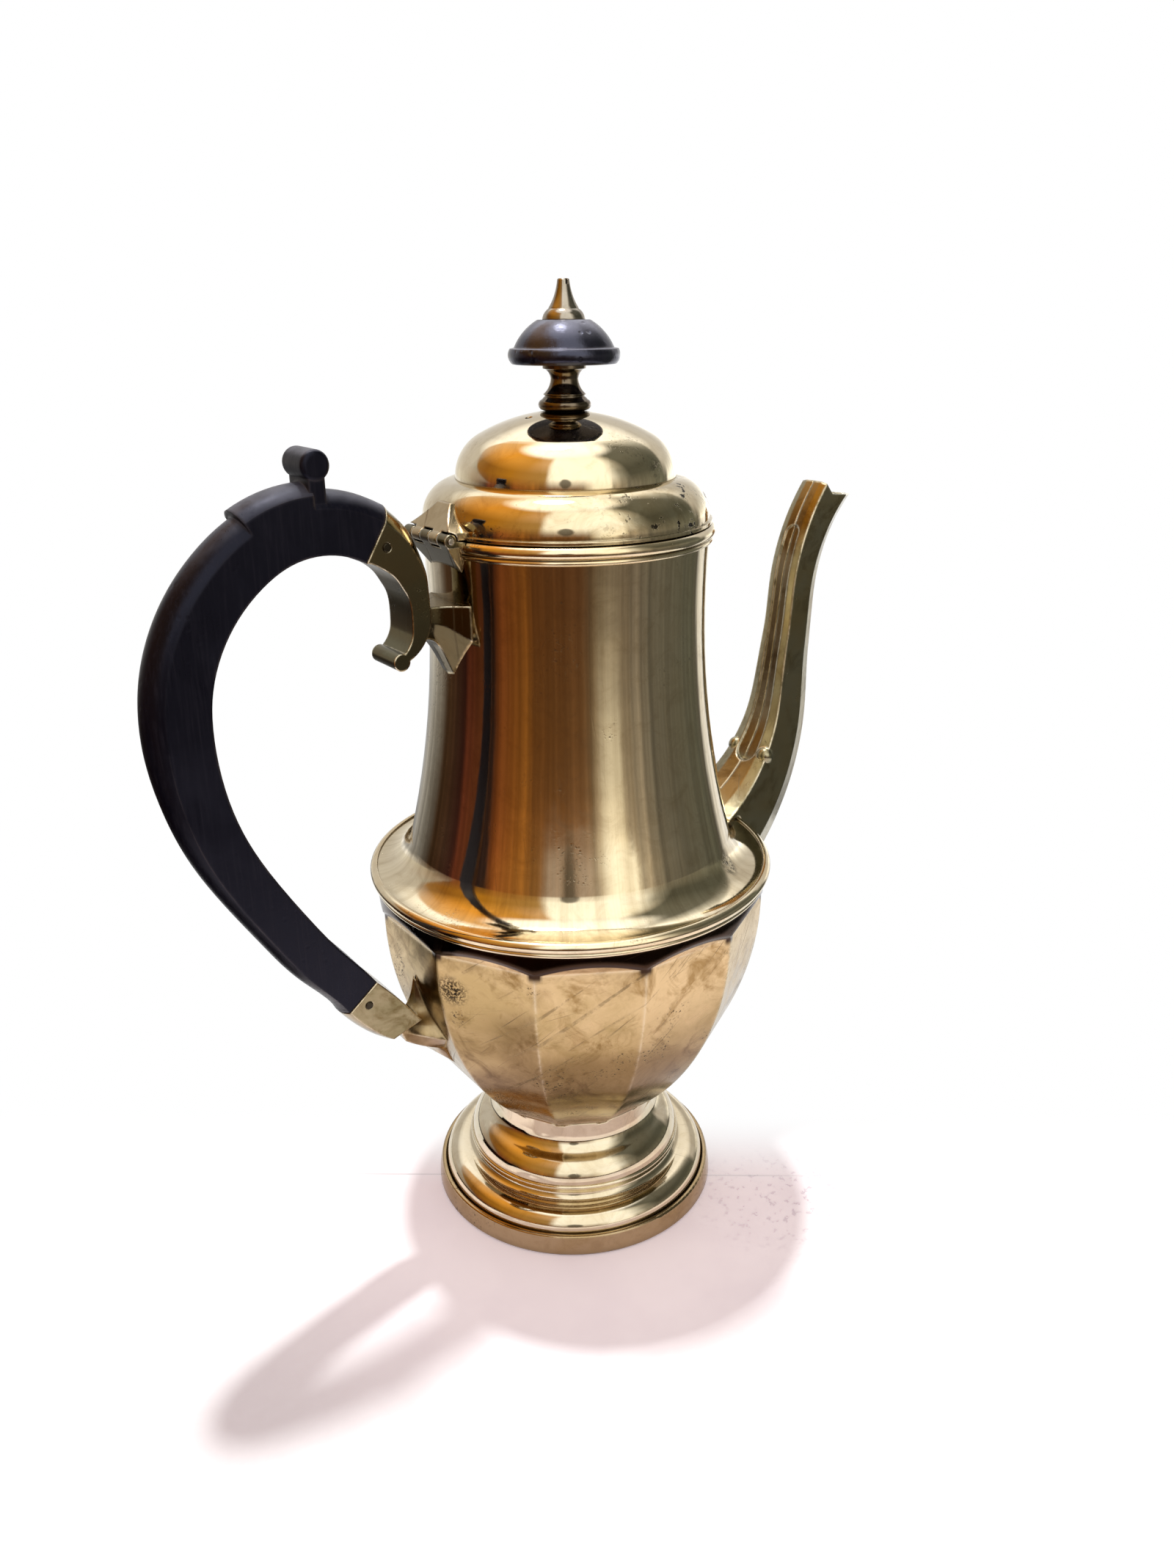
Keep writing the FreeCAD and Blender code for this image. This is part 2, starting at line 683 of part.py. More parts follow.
rim_plug = revolved("rim_plug", [
    ("0", "mouth_z - neck_height / 2"),
    ("mouth_radius - wall", "mouth_z - neck_height / 2"),
    ("mouth_radius - wall", "rim_z - 2 * mouth_roll - 2 * mouth_fillet"),
    ("mouth_radius + 0.3", "rim_z - 2 * mouth_roll - 2 * mouth_fillet"),
    ("mouth_radius + 0.3", "rim_z - 2 * mouth_roll", "mouth_fillet + 0.02", "left"),
    ("mouth_radius + 0.1", "rim_z - 2 * mouth_roll"),
    ("mouth_radius + 0.1", "rim_z", "mouth_roll + 0.02", "left"),
    ("0", "rim_z"),
])
lid_plug = revolved("lid_plug", [
    ("0", "lid_z"),
    ("band_edge + lid_lip", "lid_z"),
    ("band_edge + lid_lip", "lid_z + lid_lip_height"),
    ("band_edge", "lid_z + lid_lip_height"),
    ("band_edge", "band_arc_z"),
    ("dome_radius + 0.2", "dome_z", "dome_z - band_arc_z + 0.06", "left"),
    ("0", "dome_z"),
])

body_leaf_side = padded("body_leaf_side", [
    ("hinge_x", "hinge_z"),
    ("hinge_x - 0.85 * barrel_radius", "hinge_z - 0.5 * barrel_radius"),
    ("-mouth_radius + 1", "hinge_z - leaf_drop"),
    ("-0.7 * mouth_radius", "hinge_z - leaf_drop"),
    ("-0.7 * mouth_radius", "rim_z - 1.5"),
], "2 * hinge_width")
body_leaf_front = leaf_front("body_leaf_front", [
    ("hinge_width / 2", "hinge_z + 2 * barrel_radius"),
    ("-hinge_width / 2", "hinge_z + 2 * barrel_radius"),
    ("-hinge_width / 2", "hinge_z - barrel_radius"),
    ("-leaf_foot_width / 2", "hinge_z - leaf_drop", "leaf_side_radius", "right"),
    ("leaf_foot_width / 2", "hinge_z - leaf_drop"),
    ("hinge_width / 2", "hinge_z - barrel_radius", "leaf_side_radius", "right"),
])
lid_leaf_side = padded("lid_leaf_side", [
    ("hinge_x", "hinge_z"),
    ("-0.7 * mouth_radius", "hinge_z"),
    ("-0.7 * mouth_radius", "hinge_z + leaf_reach"),
    ("-mouth_radius + 1.2", "hinge_z + leaf_reach"),
    ("hinge_x - 0.2 * barrel_radius", "hinge_z + 0.97 * barrel_radius"),
], "2 * hinge_width")
lid_leaf_front = leaf_front("lid_leaf_front", [
    ("-hinge_width / 2", "hinge_z - 2 * barrel_radius"),
    ("hinge_width / 2", "hinge_z - 2 * barrel_radius"),
    ("hinge_width / 2", "hinge_z + barrel_radius"),
    ("leaf_tip_width / 2", "hinge_z + leaf_reach", "leaf_side_radius", "right"),
    ("-leaf_tip_width / 2", "hinge_z + leaf_reach"),
    ("-hinge_width / 2", "hinge_z + barrel_radius", "leaf_side_radius", "right"),
])
hinge_body_leaf = hinge_leaf("hinge_body_leaf", body_leaf_side, body_leaf_front, 0, [neck_outside, rim_plug])
hinge_lid_leaf = hinge_leaf("hinge_lid_leaf", lid_leaf_side, lid_leaf_front, 1, [lid_plug])
hinge_pin = cylinder_y("hinge_pin", "hinge_pin_radius", "hinge_width + 0.8", value("hinge_x"), value("hinge_z"))


# Swept pieces: sections set across a centre-line in the middle plane


def station(body, name, x, z, facing, points):
    """A bound section, with its first axis turned in the middle plane to the given direction."""
    sketch = outline(body, name, points, "XY_Plane")
    sketch.AttachmentOffset = Placement(Vector(x, 0, z), Rotation(Vector(0, 1, 0), -facing))
    return sketch


def lofted(label, stations):
    body = new_body(label)
    sections = [station(body, f"{label}_{index}", *parts) for index, parts in enumerate(stations)]
    loft = body.newObject("PartDesign::AdditiveLoft", label + "_loft")
    loft.Profile = sections[0]
    loft.Sections = sections[1:]
    loft.Ruled = False
    return body


def grip_section(width, depth, crown):
    """A flat-backed section with a crowned outer face."""
    return [
        (f"-({depth}) / 2", f"-{width} / 2"),
        (f"({depth}) / 2 - ({crown})", f"-{width} / 2"),
        (f"({depth}) / 2 - ({crown})", f"{width} / 2",
         f"({width} ^ 2 / 4 + ({crown}) ^ 2) / (2 * ({crown}))", "left"),
        (f"-({depth}) / 2", f"{width} / 2"),
    ]


def handle_place(turn):
    """The handle's centre-line at a turn from its upright part: negative below it, positive above."""
    x = value("handle_x")
    z = value("handle_z")
    low = value("handle_low_sweep")
    high = value("handle_high_sweep")
    if turn < 0:
        arcs = [(value("handle_low_radius"), 0.0, min(-turn, low)),
                (value("handle_tail_radius"), low, max(-turn, low))]
    else:
        arcs = [(value("handle_high_radius"), 0.0, min(turn, high)),
                (value("handle_crest_radius"), high, max(turn, high))]
    for radius, start, end in arcs:
        start = math.radians(start)
        end = math.radians(end)
        x += radius * (math.cos(start) - math.cos(end))
        z += math.copysign(radius, turn) * (math.sin(end) - math.sin(start))
    return x, z


def tail_sweep():
    """The turn of the handle's long tail, which ends a set distance outside the bowl."""
    low = math.radians(value("handle_low_sweep"))
    run = value("-handle_x - shoulder_radius - handle_end_stand") - value("handle_low_radius") * (1 - math.cos(low))
    return math.degrees(math.acos(math.cos(low) - run / value("handle_tail_radius")) - low)


LOW_TURN = -value("handle_low_sweep") - tail_sweep()
HIGH_TURN = value("handle_high_sweep + handle_crest_sweep")


def handle_station(turn):
    x, z = handle_place(turn)
    depth, crown = "handle_depth", "handle_crown"
    if turn < 0:
        share = min(turn / LOW_TURN, 1.0)
        depth = f"handle_depth + (handle_end_depth - handle_depth) * {share:.4f}"
        crown = f"handle_crown + (handle_end_crown - handle_crown) * {share:.4f}"
    return x, z, 180 - turn, grip_section("handle_width", depth, crown)


def low_turn(share):
    """The turn at a share of the way down the handle's lower half, by its length."""
    sweep = value("handle_low_sweep")
    bend = value("handle_low_radius") * sweep
    length = share * (bend + value("handle_tail_radius") * tail_sweep())
    if length < bend:
        return -length / value("handle_low_radius")
    return -sweep - (length - bend) / value("handle_tail_radius")


def along(start, heading, forward, inward):
    """A place in the middle plane, so far along a heading and so far to its pot side."""
    angle = math.radians(heading)
    return in_plane(start[0] + forward * math.cos(angle) + inward * math.sin(angle) * -POT_SIDE[heading],
                    start[1] + forward * math.sin(angle) + inward * math.cos(angle) * POT_SIDE[heading])


low_turns = [low_turn(step / 6) for step in range(6, 0, -1)]
high_turns = [HIGH_TURN * step / 10 for step in range(11)]
grip = lofted("grip", [handle_station(turn) for turn in low_turns + high_turns])

LOW_END = handle_place(LOW_TURN)
HIGH_END = handle_place(HIGH_TURN)
LOW_HEADING = -90 - LOW_TURN
HIGH_HEADING = 90 - HIGH_TURN
POT_SIDE = {LOW_HEADING: 1, HIGH_HEADING: -1}


def tenon(label, end, heading, inward, fit):
    """The peg on the end of the handle, or with a fit, the hole that takes it."""
    length = value("tenon_length") + fit
    depth = value("tenon_depth") + 2 * fit
    width = value("tenon_width") + 2 * fit
    peg = Part.makeBox(length + 2, width, depth, Vector(-2, -width / 2, -depth / 2))
    peg.Placement = Placement(along(end, heading, 0.0, inward), Rotation(Vector(0, 1, 0), -heading))
    return feature(label, peg)


def step_block():
    """The raised block on the crest, turned about the crest's own centre."""
    crown = value("step_block_crown")
    half = value("handle_width") / 2
    top = value("crest_z + handle_crest_radius + handle_depth / 2 + step_block_height")
    x = value("crest_x")
    corners = [Vector(x, -half, value("crest_z + handle_crest_radius")), Vector(x, -half, top - crown),
               Vector(x, half, top - crown), Vector(x, half, value("crest_z + handle_crest_radius"))]
    edges = [
        Part.makeLine(corners[0], corners[1]),
        Part.Arc(corners[1], Vector(x, 0, top), corners[2]).toShape(),
        Part.makeLine(corners[2], corners[3]),
        Part.makeLine(corners[3], corners[0]),
    ]
    face = Part.Face(Part.Wire(edges))
    centre = in_plane(x, value("crest_z"))
    face.rotate(centre, Vector(0, 1, 0), -value("step_block_start"))
    return feature("step_block", face.revolve(centre, Vector(0, 1, 0),
                                              value("step_block_start - step_block_end")))


def thumb_roll():
    """The rolled thumb-rest on top of the block, on its short neck."""
    half = value("handle_width") / 2
    centre = in_plane(value("crest_x") + 0.5, value("crest_z + handle_crest_radius + thumb_roll_rise"))
    roll = Part.makeCylinder(value("thumb_roll_radius"), 2 * half, centre - Vector(0, half, 0), Vector(0, 1, 0))
    ends = [edge for edge in roll.Edges if edge.Closed and isinstance(edge.Curve, Part.Circle)]
    roll = roll.makeFillet(value("thumb_roll_round"), ends)
    thick = value("thumb_neck")
    neck = Part.makeBox(thick, 2 * half - 1, value("thumb_roll_rise"),
                        centre - Vector(thick / 2, half - 0.5, value("thumb_roll_rise")))
    return feature("thumb_roll", roll.fuse(neck))


UPPER_SHIFT = 2.4
LOWER_SHIFT = 0.2
upper_tenon = tenon("upper_tenon", HIGH_END, HIGH_HEADING, UPPER_SHIFT, 0.0)
lower_tenon = tenon("lower_tenon", LOW_END, LOW_HEADING, LOWER_SHIFT, 0.0)
upper_mortise = tenon("upper_mortise", HIGH_END, HIGH_HEADING, UPPER_SHIFT, value("tenon_fit"))
lower_mortise = tenon("lower_mortise", LOW_END, LOW_HEADING, LOWER_SHIFT, value("tenon_fit"))

upper_place = along(HIGH_END, HIGH_HEADING, value("handle_pin_inset"), UPPER_SHIFT - 0.8)
lower_place = along(LOW_END, LOW_HEADING, value("handle_pin_inset"), LOWER_SHIFT)
upper_handle_pin = cylinder_y("upper_handle_pin", "handle_pin_radius", "socket_width + 0.4",
                              upper_place.x, upper_place.z)
lower_handle_pin = cylinder_y("lower_handle_pin", "handle_pin_radius", "socket_width + 0.4",
                              lower_place.x, lower_place.z)
handle_blank = fused("handle_blank", grip, step_block(), thumb_roll(), upper_tenon, lower_tenon)
handle = cut("handle", handle_blank, upper_handle_pin, lower_handle_pin)


# Sockets and brackets


def scroll_stations():
    """The upper socket: it takes the handle's section and curls down and back under itself."""
    x, z = HIGH_END
    facing = HIGH_HEADING + 90
    stations = [(x, z, facing, grip_section("socket_width", "handle_depth", "handle_crown"))]
    arcs = [
        (value("scroll_radius"), value("scroll_sweep"), 5, "handle_depth", "scroll_neck_depth", 0.75),
        (value("scroll_curl_radius"), value("scroll_curl_sweep"), 6, "scroll_neck_depth", "scroll_end_depth", 0.0),
    ]
    for radius, sweep, steps, first, last, crown_fall in arcs:
        for step in range(1, steps + 1):
            share = step / steps
            start = math.radians(facing)
            end = math.radians(facing - sweep * share)
            place = (x + radius * (math.cos(end) - math.cos(start)), z + radius * (math.sin(end) - math.sin(start)))
            depth = f"{first} + ({last} - {first}) * {share:.4f}"
            crown = f"handle_crown * {0.25 + crown_fall * (1 - share):.4f}"
            stations.append((*place, facing - sweep * share, grip_section("socket_width", depth, crown)))
        x, z = place
        facing -= sweep
        z -= value("scroll_straight")
    return stations, place


scroll, scroll_end = scroll_stations()
scroll_body = lofted("scroll", scroll)
scroll_lip = cylinder_y("scroll_lip", "scroll_lip_radius", "socket_width", scroll_end[0], scroll_end[1] + 0.3)
scroll_whole = fused("scroll_whole", scroll_body, scroll_lip)
upper_socket = cut("upper_socket", scroll_whole, upper_mortise, upper_handle_pin, hinge_body_leaf)


def star_section(height, width, waist, rise="0"):
    """Eight corners: the four points of a leaf with its waists between them."""
    return [
        (f"{rise} + ({height}) / 2", "0"),
        (f"{rise} + ({height}) / 2 * {waist}", f"({width}) / 2 * {waist}"),
        (f"{rise}", f"({width}) / 2"),
        (f"{rise} - ({height}) / 2 * {waist}", f"({width}) / 2 * {waist}"),
        (f"{rise} - ({height}) / 2", "0"),
        (f"{rise} - ({height}) / 2 * {waist}", f"-({width}) / 2 * {waist}"),
        (f"{rise}", f"-({width}) / 2"),
        (f"{rise} + ({height}) / 2 * {waist}", f"-({width}) / 2 * {waist}"),
    ]


def shield_section(height, width, point):
    """Eight corners hung from a level top: a block where point is 0, a pointed shield where it is 1."""
    low = 1 - 0.04 * point
    narrow = 1 - 0.66 * point
    half = f"({width}) / 2"
    return [
        ("0", "0"),
        ("0", half),
        (f"-({height}) * {0.5 - 0.1 * point}", half),
        (f"-({height}) * {low}", f"{half} * {narrow}"),
        (f"-({height}) * 1.001", "0"),
        (f"-({height}) * {low}", f"-{half} * {narrow}"),
        (f"-({height}) * {0.5 - 0.1 * point}", f"-{half}"),
        ("0", f"-{half}"),
    ]


bracket_x = scroll[5][0]
bracket_z = scroll[5][1] - value("upper_bracket_set")
bracket_foot = -value("mouth_radius") - 0.3
bracket_root = -value("mouth_radius") + 2.5
upper_bracket_blank = lofted("upper_bracket_blank", [
    (bracket_x, bracket_z, 90, shield_section("upper_bracket_height", "upper_bracket_width", 0.0)),
    (0.5 * (bracket_x + bracket_foot), bracket_z, 90,
     shield_section("1.2 * upper_bracket_height", "1.1 * upper_bracket_width", 0.4)),
    (bracket_foot, bracket_z, 90, shield_section("upper_bracket_drop", "upper_bracket_spread", 1.0)),
    (bracket_root, bracket_z, 90,
     shield_section("1.3 * upper_bracket_drop", "1.3 * upper_bracket_spread", 1.0)),
])
upper_bracket = cut("upper_bracket", upper_bracket_blank, scroll_whole, neck_outside)

lower_end = along(LOW_END, LOW_HEADING, value("lower_socket_length"), 0.6)
lower_middle = along(LOW_END, LOW_HEADING, 0.6 * value("lower_socket_length"), 0.2)
lower_facing = 180 - LOW_TURN
lower_socket_blank = lofted("lower_socket_blank", [
    (*LOW_END, lower_facing, grip_section("socket_width", "handle_end_depth", "handle_end_crown")),
    (lower_middle.x, lower_middle.z, lower_facing - 4,
     grip_section("socket_width", "handle_end_depth", "handle_end_crown")),
    (lower_end.x, lower_end.z, lower_facing - value("lower_socket_turn"),
     grip_section("socket_width", "lower_socket_end_depth", "handle_end_crown")),
])
lower_socket = cut("lower_socket", lower_socket_blank, lower_mortise, lower_handle_pin)

leaf_lean = value("lower_bracket_lean")
leaf_root = in_plane(lower_end.x + value("lower_bracket_run"), lower_end.z - value("lower_bracket_fall"))
leaf_start = in_plane(lower_end.x - 1.0, lower_end.z)
leaf_middle = leaf_start + (leaf_root - leaf_start) * 0.5
lower_bracket_blank = lofted("lower_bracket_blank", [
    (leaf_start.x, leaf_start.z, leaf_lean, star_section("lower_bracket_height", "lower_bracket_width", "0.97")),
    (leaf_middle.x, leaf_middle.z, leaf_lean,
     star_section("2.2 * lower_bracket_height", "1.25 * lower_bracket_width", "0.62", "-1.5")),
    (leaf_root.x, leaf_root.z, leaf_lean,
     star_section("lower_bracket_span", "lower_bracket_spread", "lower_bracket_waist")),
])
lower_bracket = cut("lower_bracket", lower_bracket_blank, lower_socket_blank, bowl_outside)


# Spout


def spout_path():
    """Stations on the spout's centre-line: place, heading and length along it from the root."""
    heading = value("spout_root_lean")
    length = value("spout_root_length")
    x = value("shoulder_radius - spout_reach")
    z = value("seam_z - spout_drop")
    run = length / 3
    lean = math.radians(heading)
    stations = [(x - length * math.cos(lean), z - length * math.sin(lean), heading, run - length),
                (x, z, heading, run)]
    pieces = [(value("spout_low_radius"), value("spout_low_sweep"), 8), (0.0, value("spout_straight"), 2),
              (-value("spout_high_radius"), value("spout_high_sweep"), 8), (0.0, value("spout_tip_length"), 1)]
    for radius, amount, steps in pieces:
        for step in range(steps):
            lean = math.radians(heading)
            if radius:
                ahead = math.radians(heading + math.copysign(amount / steps, radius))
                x += radius * (math.sin(ahead) - math.sin(lean))
                z -= radius * (math.cos(ahead) - math.cos(lean))
                heading = math.degrees(ahead)
                run += abs(radius) * math.radians(amount / steps)
            else:
                x += amount / steps * math.cos(lean)
                z += amount / steps * math.sin(lean)
                run += amount / steps
            stations.append((x, z, heading, run))
    return stations


SPOUT = spout_path()
SPOUT_TAPER_END = SPOUT[11][3]
SPOUT_END = SPOUT[-2]
CHANNEL = SPOUT[6:16]


def spout_size(run):
    """Depth, width and outer flat: broad at the root, slim at the neck and deep again at the mouth."""
    if run < SPOUT_TAPER_END:
        left = 1 - max(run, 0.0) / SPOUT_TAPER_END
        deep = left ** value("spout_taper")
        broad = left ** value("spout_width_taper")
        return (f"(spout_depth + (spout_root_depth - spout_depth) * {deep:.4f})",
                f"(spout_width + (spout_root_width - spout_width) * {broad:.4f})",
                "spout_outer_flat")
    share = min((run - SPOUT_TAPER_END) / (SPOUT_END[3] - SPOUT_TAPER_END), 1.0) ** 1.5
    return (f"(spout_depth + (spout_mouth_depth - spout_depth) * {share:.4f})",
            f"(spout_width + (spout_mouth_width - spout_width) * {share:.4f})",
            f"(spout_outer_flat + (spout_tip_flat - spout_outer_flat) * {share:.4f})")


def spout_section(run, inset):
    """An eight-sided section: flats toward and away from the pot, upright sides and bevels between."""
    depth, width, outer_flat = spout_size(run)
    half_deep = f"({depth} / 2 - {inset})"
    half_wide = f"({width} / 2 - {inset})"
    inner = f"{half_deep} * (1 - 2 * spout_inner_bevel)"
    outer = f"-{half_deep} * (1 - 2 * spout_outer_bevel)"
    return [
        (half_deep, f"{half_wide} * spout_inner_flat"),
        (half_deep, f"-{half_wide} * spout_inner_flat"),
        (inner, f"-{half_wide}"),
        (outer, f"-{half_wide}"),
        (f"-{half_deep}", f"-{half_wide} * {outer_flat}"),
        (f"-{half_deep}", f"{half_wide} * {outer_flat}"),
        (outer, half_wide),
        (inner, half_wide),
    ]


def spout_solid(label, inset):
    return lofted(label, [(x, z, heading + 90, spout_section(run, inset)) for x, z, heading, run in SPOUT])


def channel_section(run):
    depth, width, _ = spout_size(run)
    half = f"{width} / 2 * spout_inner_flat * channel_share"
    low = f"{depth} / 2 - channel_depth"
    high = f"{depth} / 2 + spout_wall"
    return [(high, half), (high, f"-{half}"), (low, f"-{half}"), (low, half)]


def on_spout(spot, rise, across):
    """A place so far from the centre-line toward the pot, and so far across."""
    x, z, heading, _ = spot
    facing = math.radians(heading + 90)
    return Vector(x + rise * math.cos(facing), across, z + rise * math.sin(facing))


def channel_end(spot):
    """The round stop at an end of the sunk channel."""
    depth, width, _ = spout_size(spot[3])
    floor = on_spout(spot, value(f"{depth} / 2 - channel_depth"), 0)
    above = on_spout(spot, value(f"{depth} / 2 + spout_wall"), 0)
    radius = value(f"{width} / 2 * spout_inner_flat * channel_share")
    return Part.makeCylinder(radius, (above - floor).Length, floor, above - floor)


def spout_drop(side):
    """The proud drop that ends a bevel just under the channel."""
    spot = SPOUT[6]
    depth, width, _ = spout_size(spot[3])
    sunk = value("drop_radius - drop_rise")
    middle = on_spout(spot, value(f"{depth} / 2 * (1 - 2 * spout_inner_bevel)") - 0.5 * sunk,
                      side * (value(f"{width} / 2") - 0.85 * sunk))
    return Part.makeSphere(value("drop_radius"), middle)


# The beak, from the back of the lip round the notch to the pouring tip, from the end of the centre-line
BEAK = [(-18, 3.6), (-5.6, 3.7), (-4.7, 2.5), (-2.8, 0.2), (8.0, -1.0), (30, -3.5), (30, 20), (-18, 20)]

spout_outside = spout_solid("spout_outside", "0")
spout_inside = spout_solid("spout_inside", "spout_wall")
beak_cut = padded("beak_cut", [(f"{SPOUT_END[0] + x:.4f}", f"{SPOUT_END[1] + z:.4f}") for x, z in BEAK],
                  "4 * spout_root_width")
channel_body = lofted("channel_body", [(x, z, heading + 90, channel_section(run)) for x, z, heading, run in CHANNEL])
channel_ends = feature("channel_ends", Part.makeCompound([channel_end(CHANNEL[0]), channel_end(CHANNEL[-1])]))
spout_drops = feature("spout_drops", Part.makeCompound([spout_drop(1), spout_drop(-1)]))
spout_blank = fused("spout_blank", spout_outside, spout_drops)
spout_shell = cut("spout_shell", spout_blank, spout_inside, channel_body, channel_ends, beak_cut,
                  bowl_outside, neck_outside, shoulder_bead)

for name, side in (("spout_left_half", 1), ("spout_right_half", -1)):
    half_space = doc.addObject("Part::Box", name + "_side")
    for direction in ("Length", "Width", "Height"):
        half_space.setExpression(direction, bound("6 * shoulder_radius"))
    reach = value("6 * shoulder_radius")
    half_space.Placement = Placement(Vector(0, 0 if side > 0 else -reach, 0), Rotation())
    half = doc.addObject("Part::Common", name)
    half.Base = spout_shell
    half.Tool = half_space
    half.Label = name

PIECES = [
    "bowl_shell", "neck_shell", "shoulder_bead", "mouth_bead", "pedestal_foot", "foot_bead", "base_band",
    "spout_left_half", "spout_right_half", "upper_socket", "upper_bracket", "lower_socket", "lower_bracket",
    "handle", "upper_handle_pin", "lower_handle_pin", "hinge_body_leaf", "hinge_pin",
    "hinge_lid_leaf", "lid_band", "lid_dome", "lid_bezel",
    "finial_stem", "finial_knob", "finial_tip", "finial_rod", "finial_washer", "finial_nut",
]

doc.recompute()
for item in doc.Objects:
    if "Invalid" in item.State or "Error" in item.State:
        raise RuntimeError(f"{item.Label} did not build: {item.State}")

os.makedirs("parts", exist_ok=True)
for name in PIECES:
    piece = doc.getObjectsByLabel(name)[0]
    shape = piece.Shape
    if shape.isNull() or not shape.isValid() or len(shape.Solids) != 1:
        raise RuntimeError(f"{name} is not one sound solid")
    shape.exportStep(f"parts/{name}.step")
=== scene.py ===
import math

import bpy
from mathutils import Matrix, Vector

# The coffee pot's looks: worn warm plate, an ebonised handle and knob, a pale floor and the room in the reflections.

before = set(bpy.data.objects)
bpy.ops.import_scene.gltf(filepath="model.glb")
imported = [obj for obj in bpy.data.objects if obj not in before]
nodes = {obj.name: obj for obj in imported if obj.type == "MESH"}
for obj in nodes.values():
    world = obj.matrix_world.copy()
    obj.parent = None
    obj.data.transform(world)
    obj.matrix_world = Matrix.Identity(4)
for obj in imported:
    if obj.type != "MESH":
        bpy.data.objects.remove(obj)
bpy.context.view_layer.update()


# Node helpers


class Tree:
    """A material's or the world's nodes, built from sockets and plain numbers."""

    def __init__(self, owner):
        owner.use_nodes = True
        self.tree = owner.node_tree
        self.tree.nodes.clear()

    def add(self, kind, inputs=None, **settings):
        node = self.tree.nodes.new(kind)
        for name, setting in settings.items():
            setattr(node, name, setting)
        for name, value in (inputs or {}).items():
            self.put(node.inputs[name], value)
        return node

    def put(self, socket, value):
        if isinstance(value, bpy.types.NodeSocket):
            self.tree.links.new(value, socket)
        else:
            socket.default_value = value

    def math(self, operation, first, second=0.0, clamp=False):
        node = self.add("ShaderNodeMath", {0: first, 1: second}, operation=operation, use_clamp=clamp)
        return node.outputs[0]

    def times(self, first, second, clamp=False):
        return self.math("MULTIPLY", first, second, clamp)

    def mix(self, share, first, second, blend="MIX"):
        node = self.add("ShaderNodeMix", data_type="RGBA", blend_type=blend)
        for name, value in (("Factor_Float", share), ("A_Color", first), ("B_Color", second)):
            self.put([socket for socket in node.inputs if socket.identifier == name][0], value)
        return [socket for socket in node.outputs if socket.identifier == "Result_Color"][0]

    def tint(self, share, colour, by):
        return self.mix(share, colour, by, "MULTIPLY")

    def span(self, value, low, high, to_low=0.0, to_high=1.0, smooth=False):
        """The value's way from low to high, held at both ends."""
        ends = {"Value": value, "From Min": low, "From Max": high, "To Min": to_low, "To Max": to_high}
        node = self.add("ShaderNodeMapRange", ends)
        node.interpolation_type = "SMOOTHSTEP" if smooth else "LINEAR"
        return node.outputs[0]

    def ramp(self, value, stops):
        node = self.add("ShaderNodeValToRGB", {"Fac": value})
        points = node.color_ramp.elements
        while len(points) < len(stops):
            points.new(1.0)
        for point, (place, colour) in zip(points, stops):
            point.position = place
            point.color = (*colour, 1.0)
        return node.outputs["Color"]

    def own(self):
        """The piece's own coordinates, which are the part's."""
        return self.add("ShaderNodeTexCoord").outputs["Object"]

    def place(self, scale=(1, 1, 1)):
        return self.mapped(self.own(), scale=scale)

    def mapped(self, vector, scale=(1, 1, 1), turn=(0, 0, 0)):
        return self.add("ShaderNodeMapping", {"Vector": vector, "Scale": scale, "Rotation": turn}).outputs[0]

    def split(self, vector):
        parts = self.add("ShaderNodeSeparateXYZ", {"Vector": vector})
        return parts.outputs["X"], parts.outputs["Y"], parts.outputs["Z"]

    def dot(self, first, second):
        return self.add("ShaderNodeVectorMath", {0: first, 1: second}, operation="DOT_PRODUCT").outputs["Value"]

    def noise(self, vector, scale, detail=3.0, rough=0.55, warp=0.0):
        return self.add("ShaderNodeTexNoise", {"Vector": vector, "Scale": scale, "Detail": detail,
                                               "Roughness": rough, "Distortion": warp}).outputs["Fac"]

    def cells(self, vector, scale):
        return self.add("ShaderNodeTexVoronoi", {"Vector": vector, "Scale": scale}, feature="F1").outputs["Distance"]

    def bump(self, height, **inputs):
        return self.add("ShaderNodeBump", {"Height": height, "Distance": 1.0, **inputs}).outputs[0]

    def glow(self, colour, strength=1.0):
        return self.add("ShaderNodeEmission", {"Color": colour, "Strength": strength})

    def blend(self, share, first, second):
        """One shader giving way to another."""
        return self.add("ShaderNodeMixShader", {0: share, 1: first.outputs[0], 2: second.outputs[0]})

    def surface(self, shader, output="ShaderNodeOutputMaterial"):
        self.tree.links.new(shader.outputs[0], self.add(output).inputs["Surface"])


def grey(value):
    return (value, value, value, 1.0)


def near(t, place, inner, outer):
    """A soft ball round a place on the pot or the floor: 1 inside, 0 outside."""
    gap = t.add("ShaderNodeVectorMath", {0: t.own(), 1: place}, operation="DISTANCE").outputs["Value"]
    return t.span(gap, outer, inner, smooth=True)


def edges(t, soft, blunt):
    """The normal with its edges rounded, and how sharp an edge is: 0 on a face, 1 on a sharp edge."""
    rounded = t.add("ShaderNodeBevel", {"Radius": soft}, samples=6).outputs[0]
    flat = t.add("ShaderNodeNewGeometry").outputs["Normal"]
    return rounded, t.span(t.dot(rounded, flat), *blunt)


# Metal

SMUDGE_TINT = (0.42, 0.32, 0.18, 1.0)
DULL_TINT = (0.5, 0.42, 0.28, 1.0)
LOW_TINT = (0.52, 0.49, 0.4, 1.0)
WIPED_TINT = (0.55, 0.5, 0.42, 1.0)
RUBBED_COLOUR = (0.9, 0.8, 0.6, 1.0)
SCRATCH_COLOUR = (0.1, 0.075, 0.045, 1.0)
TARNISH_AND_SHADE_COLOUR = (0.05, 0.034, 0.02, 1.0)
PIT_COLOUR = (0.03, 0.024, 0.018, 1.0)
LIP_COLOUR = (0.05, 0.028, 0.017, 1.0)

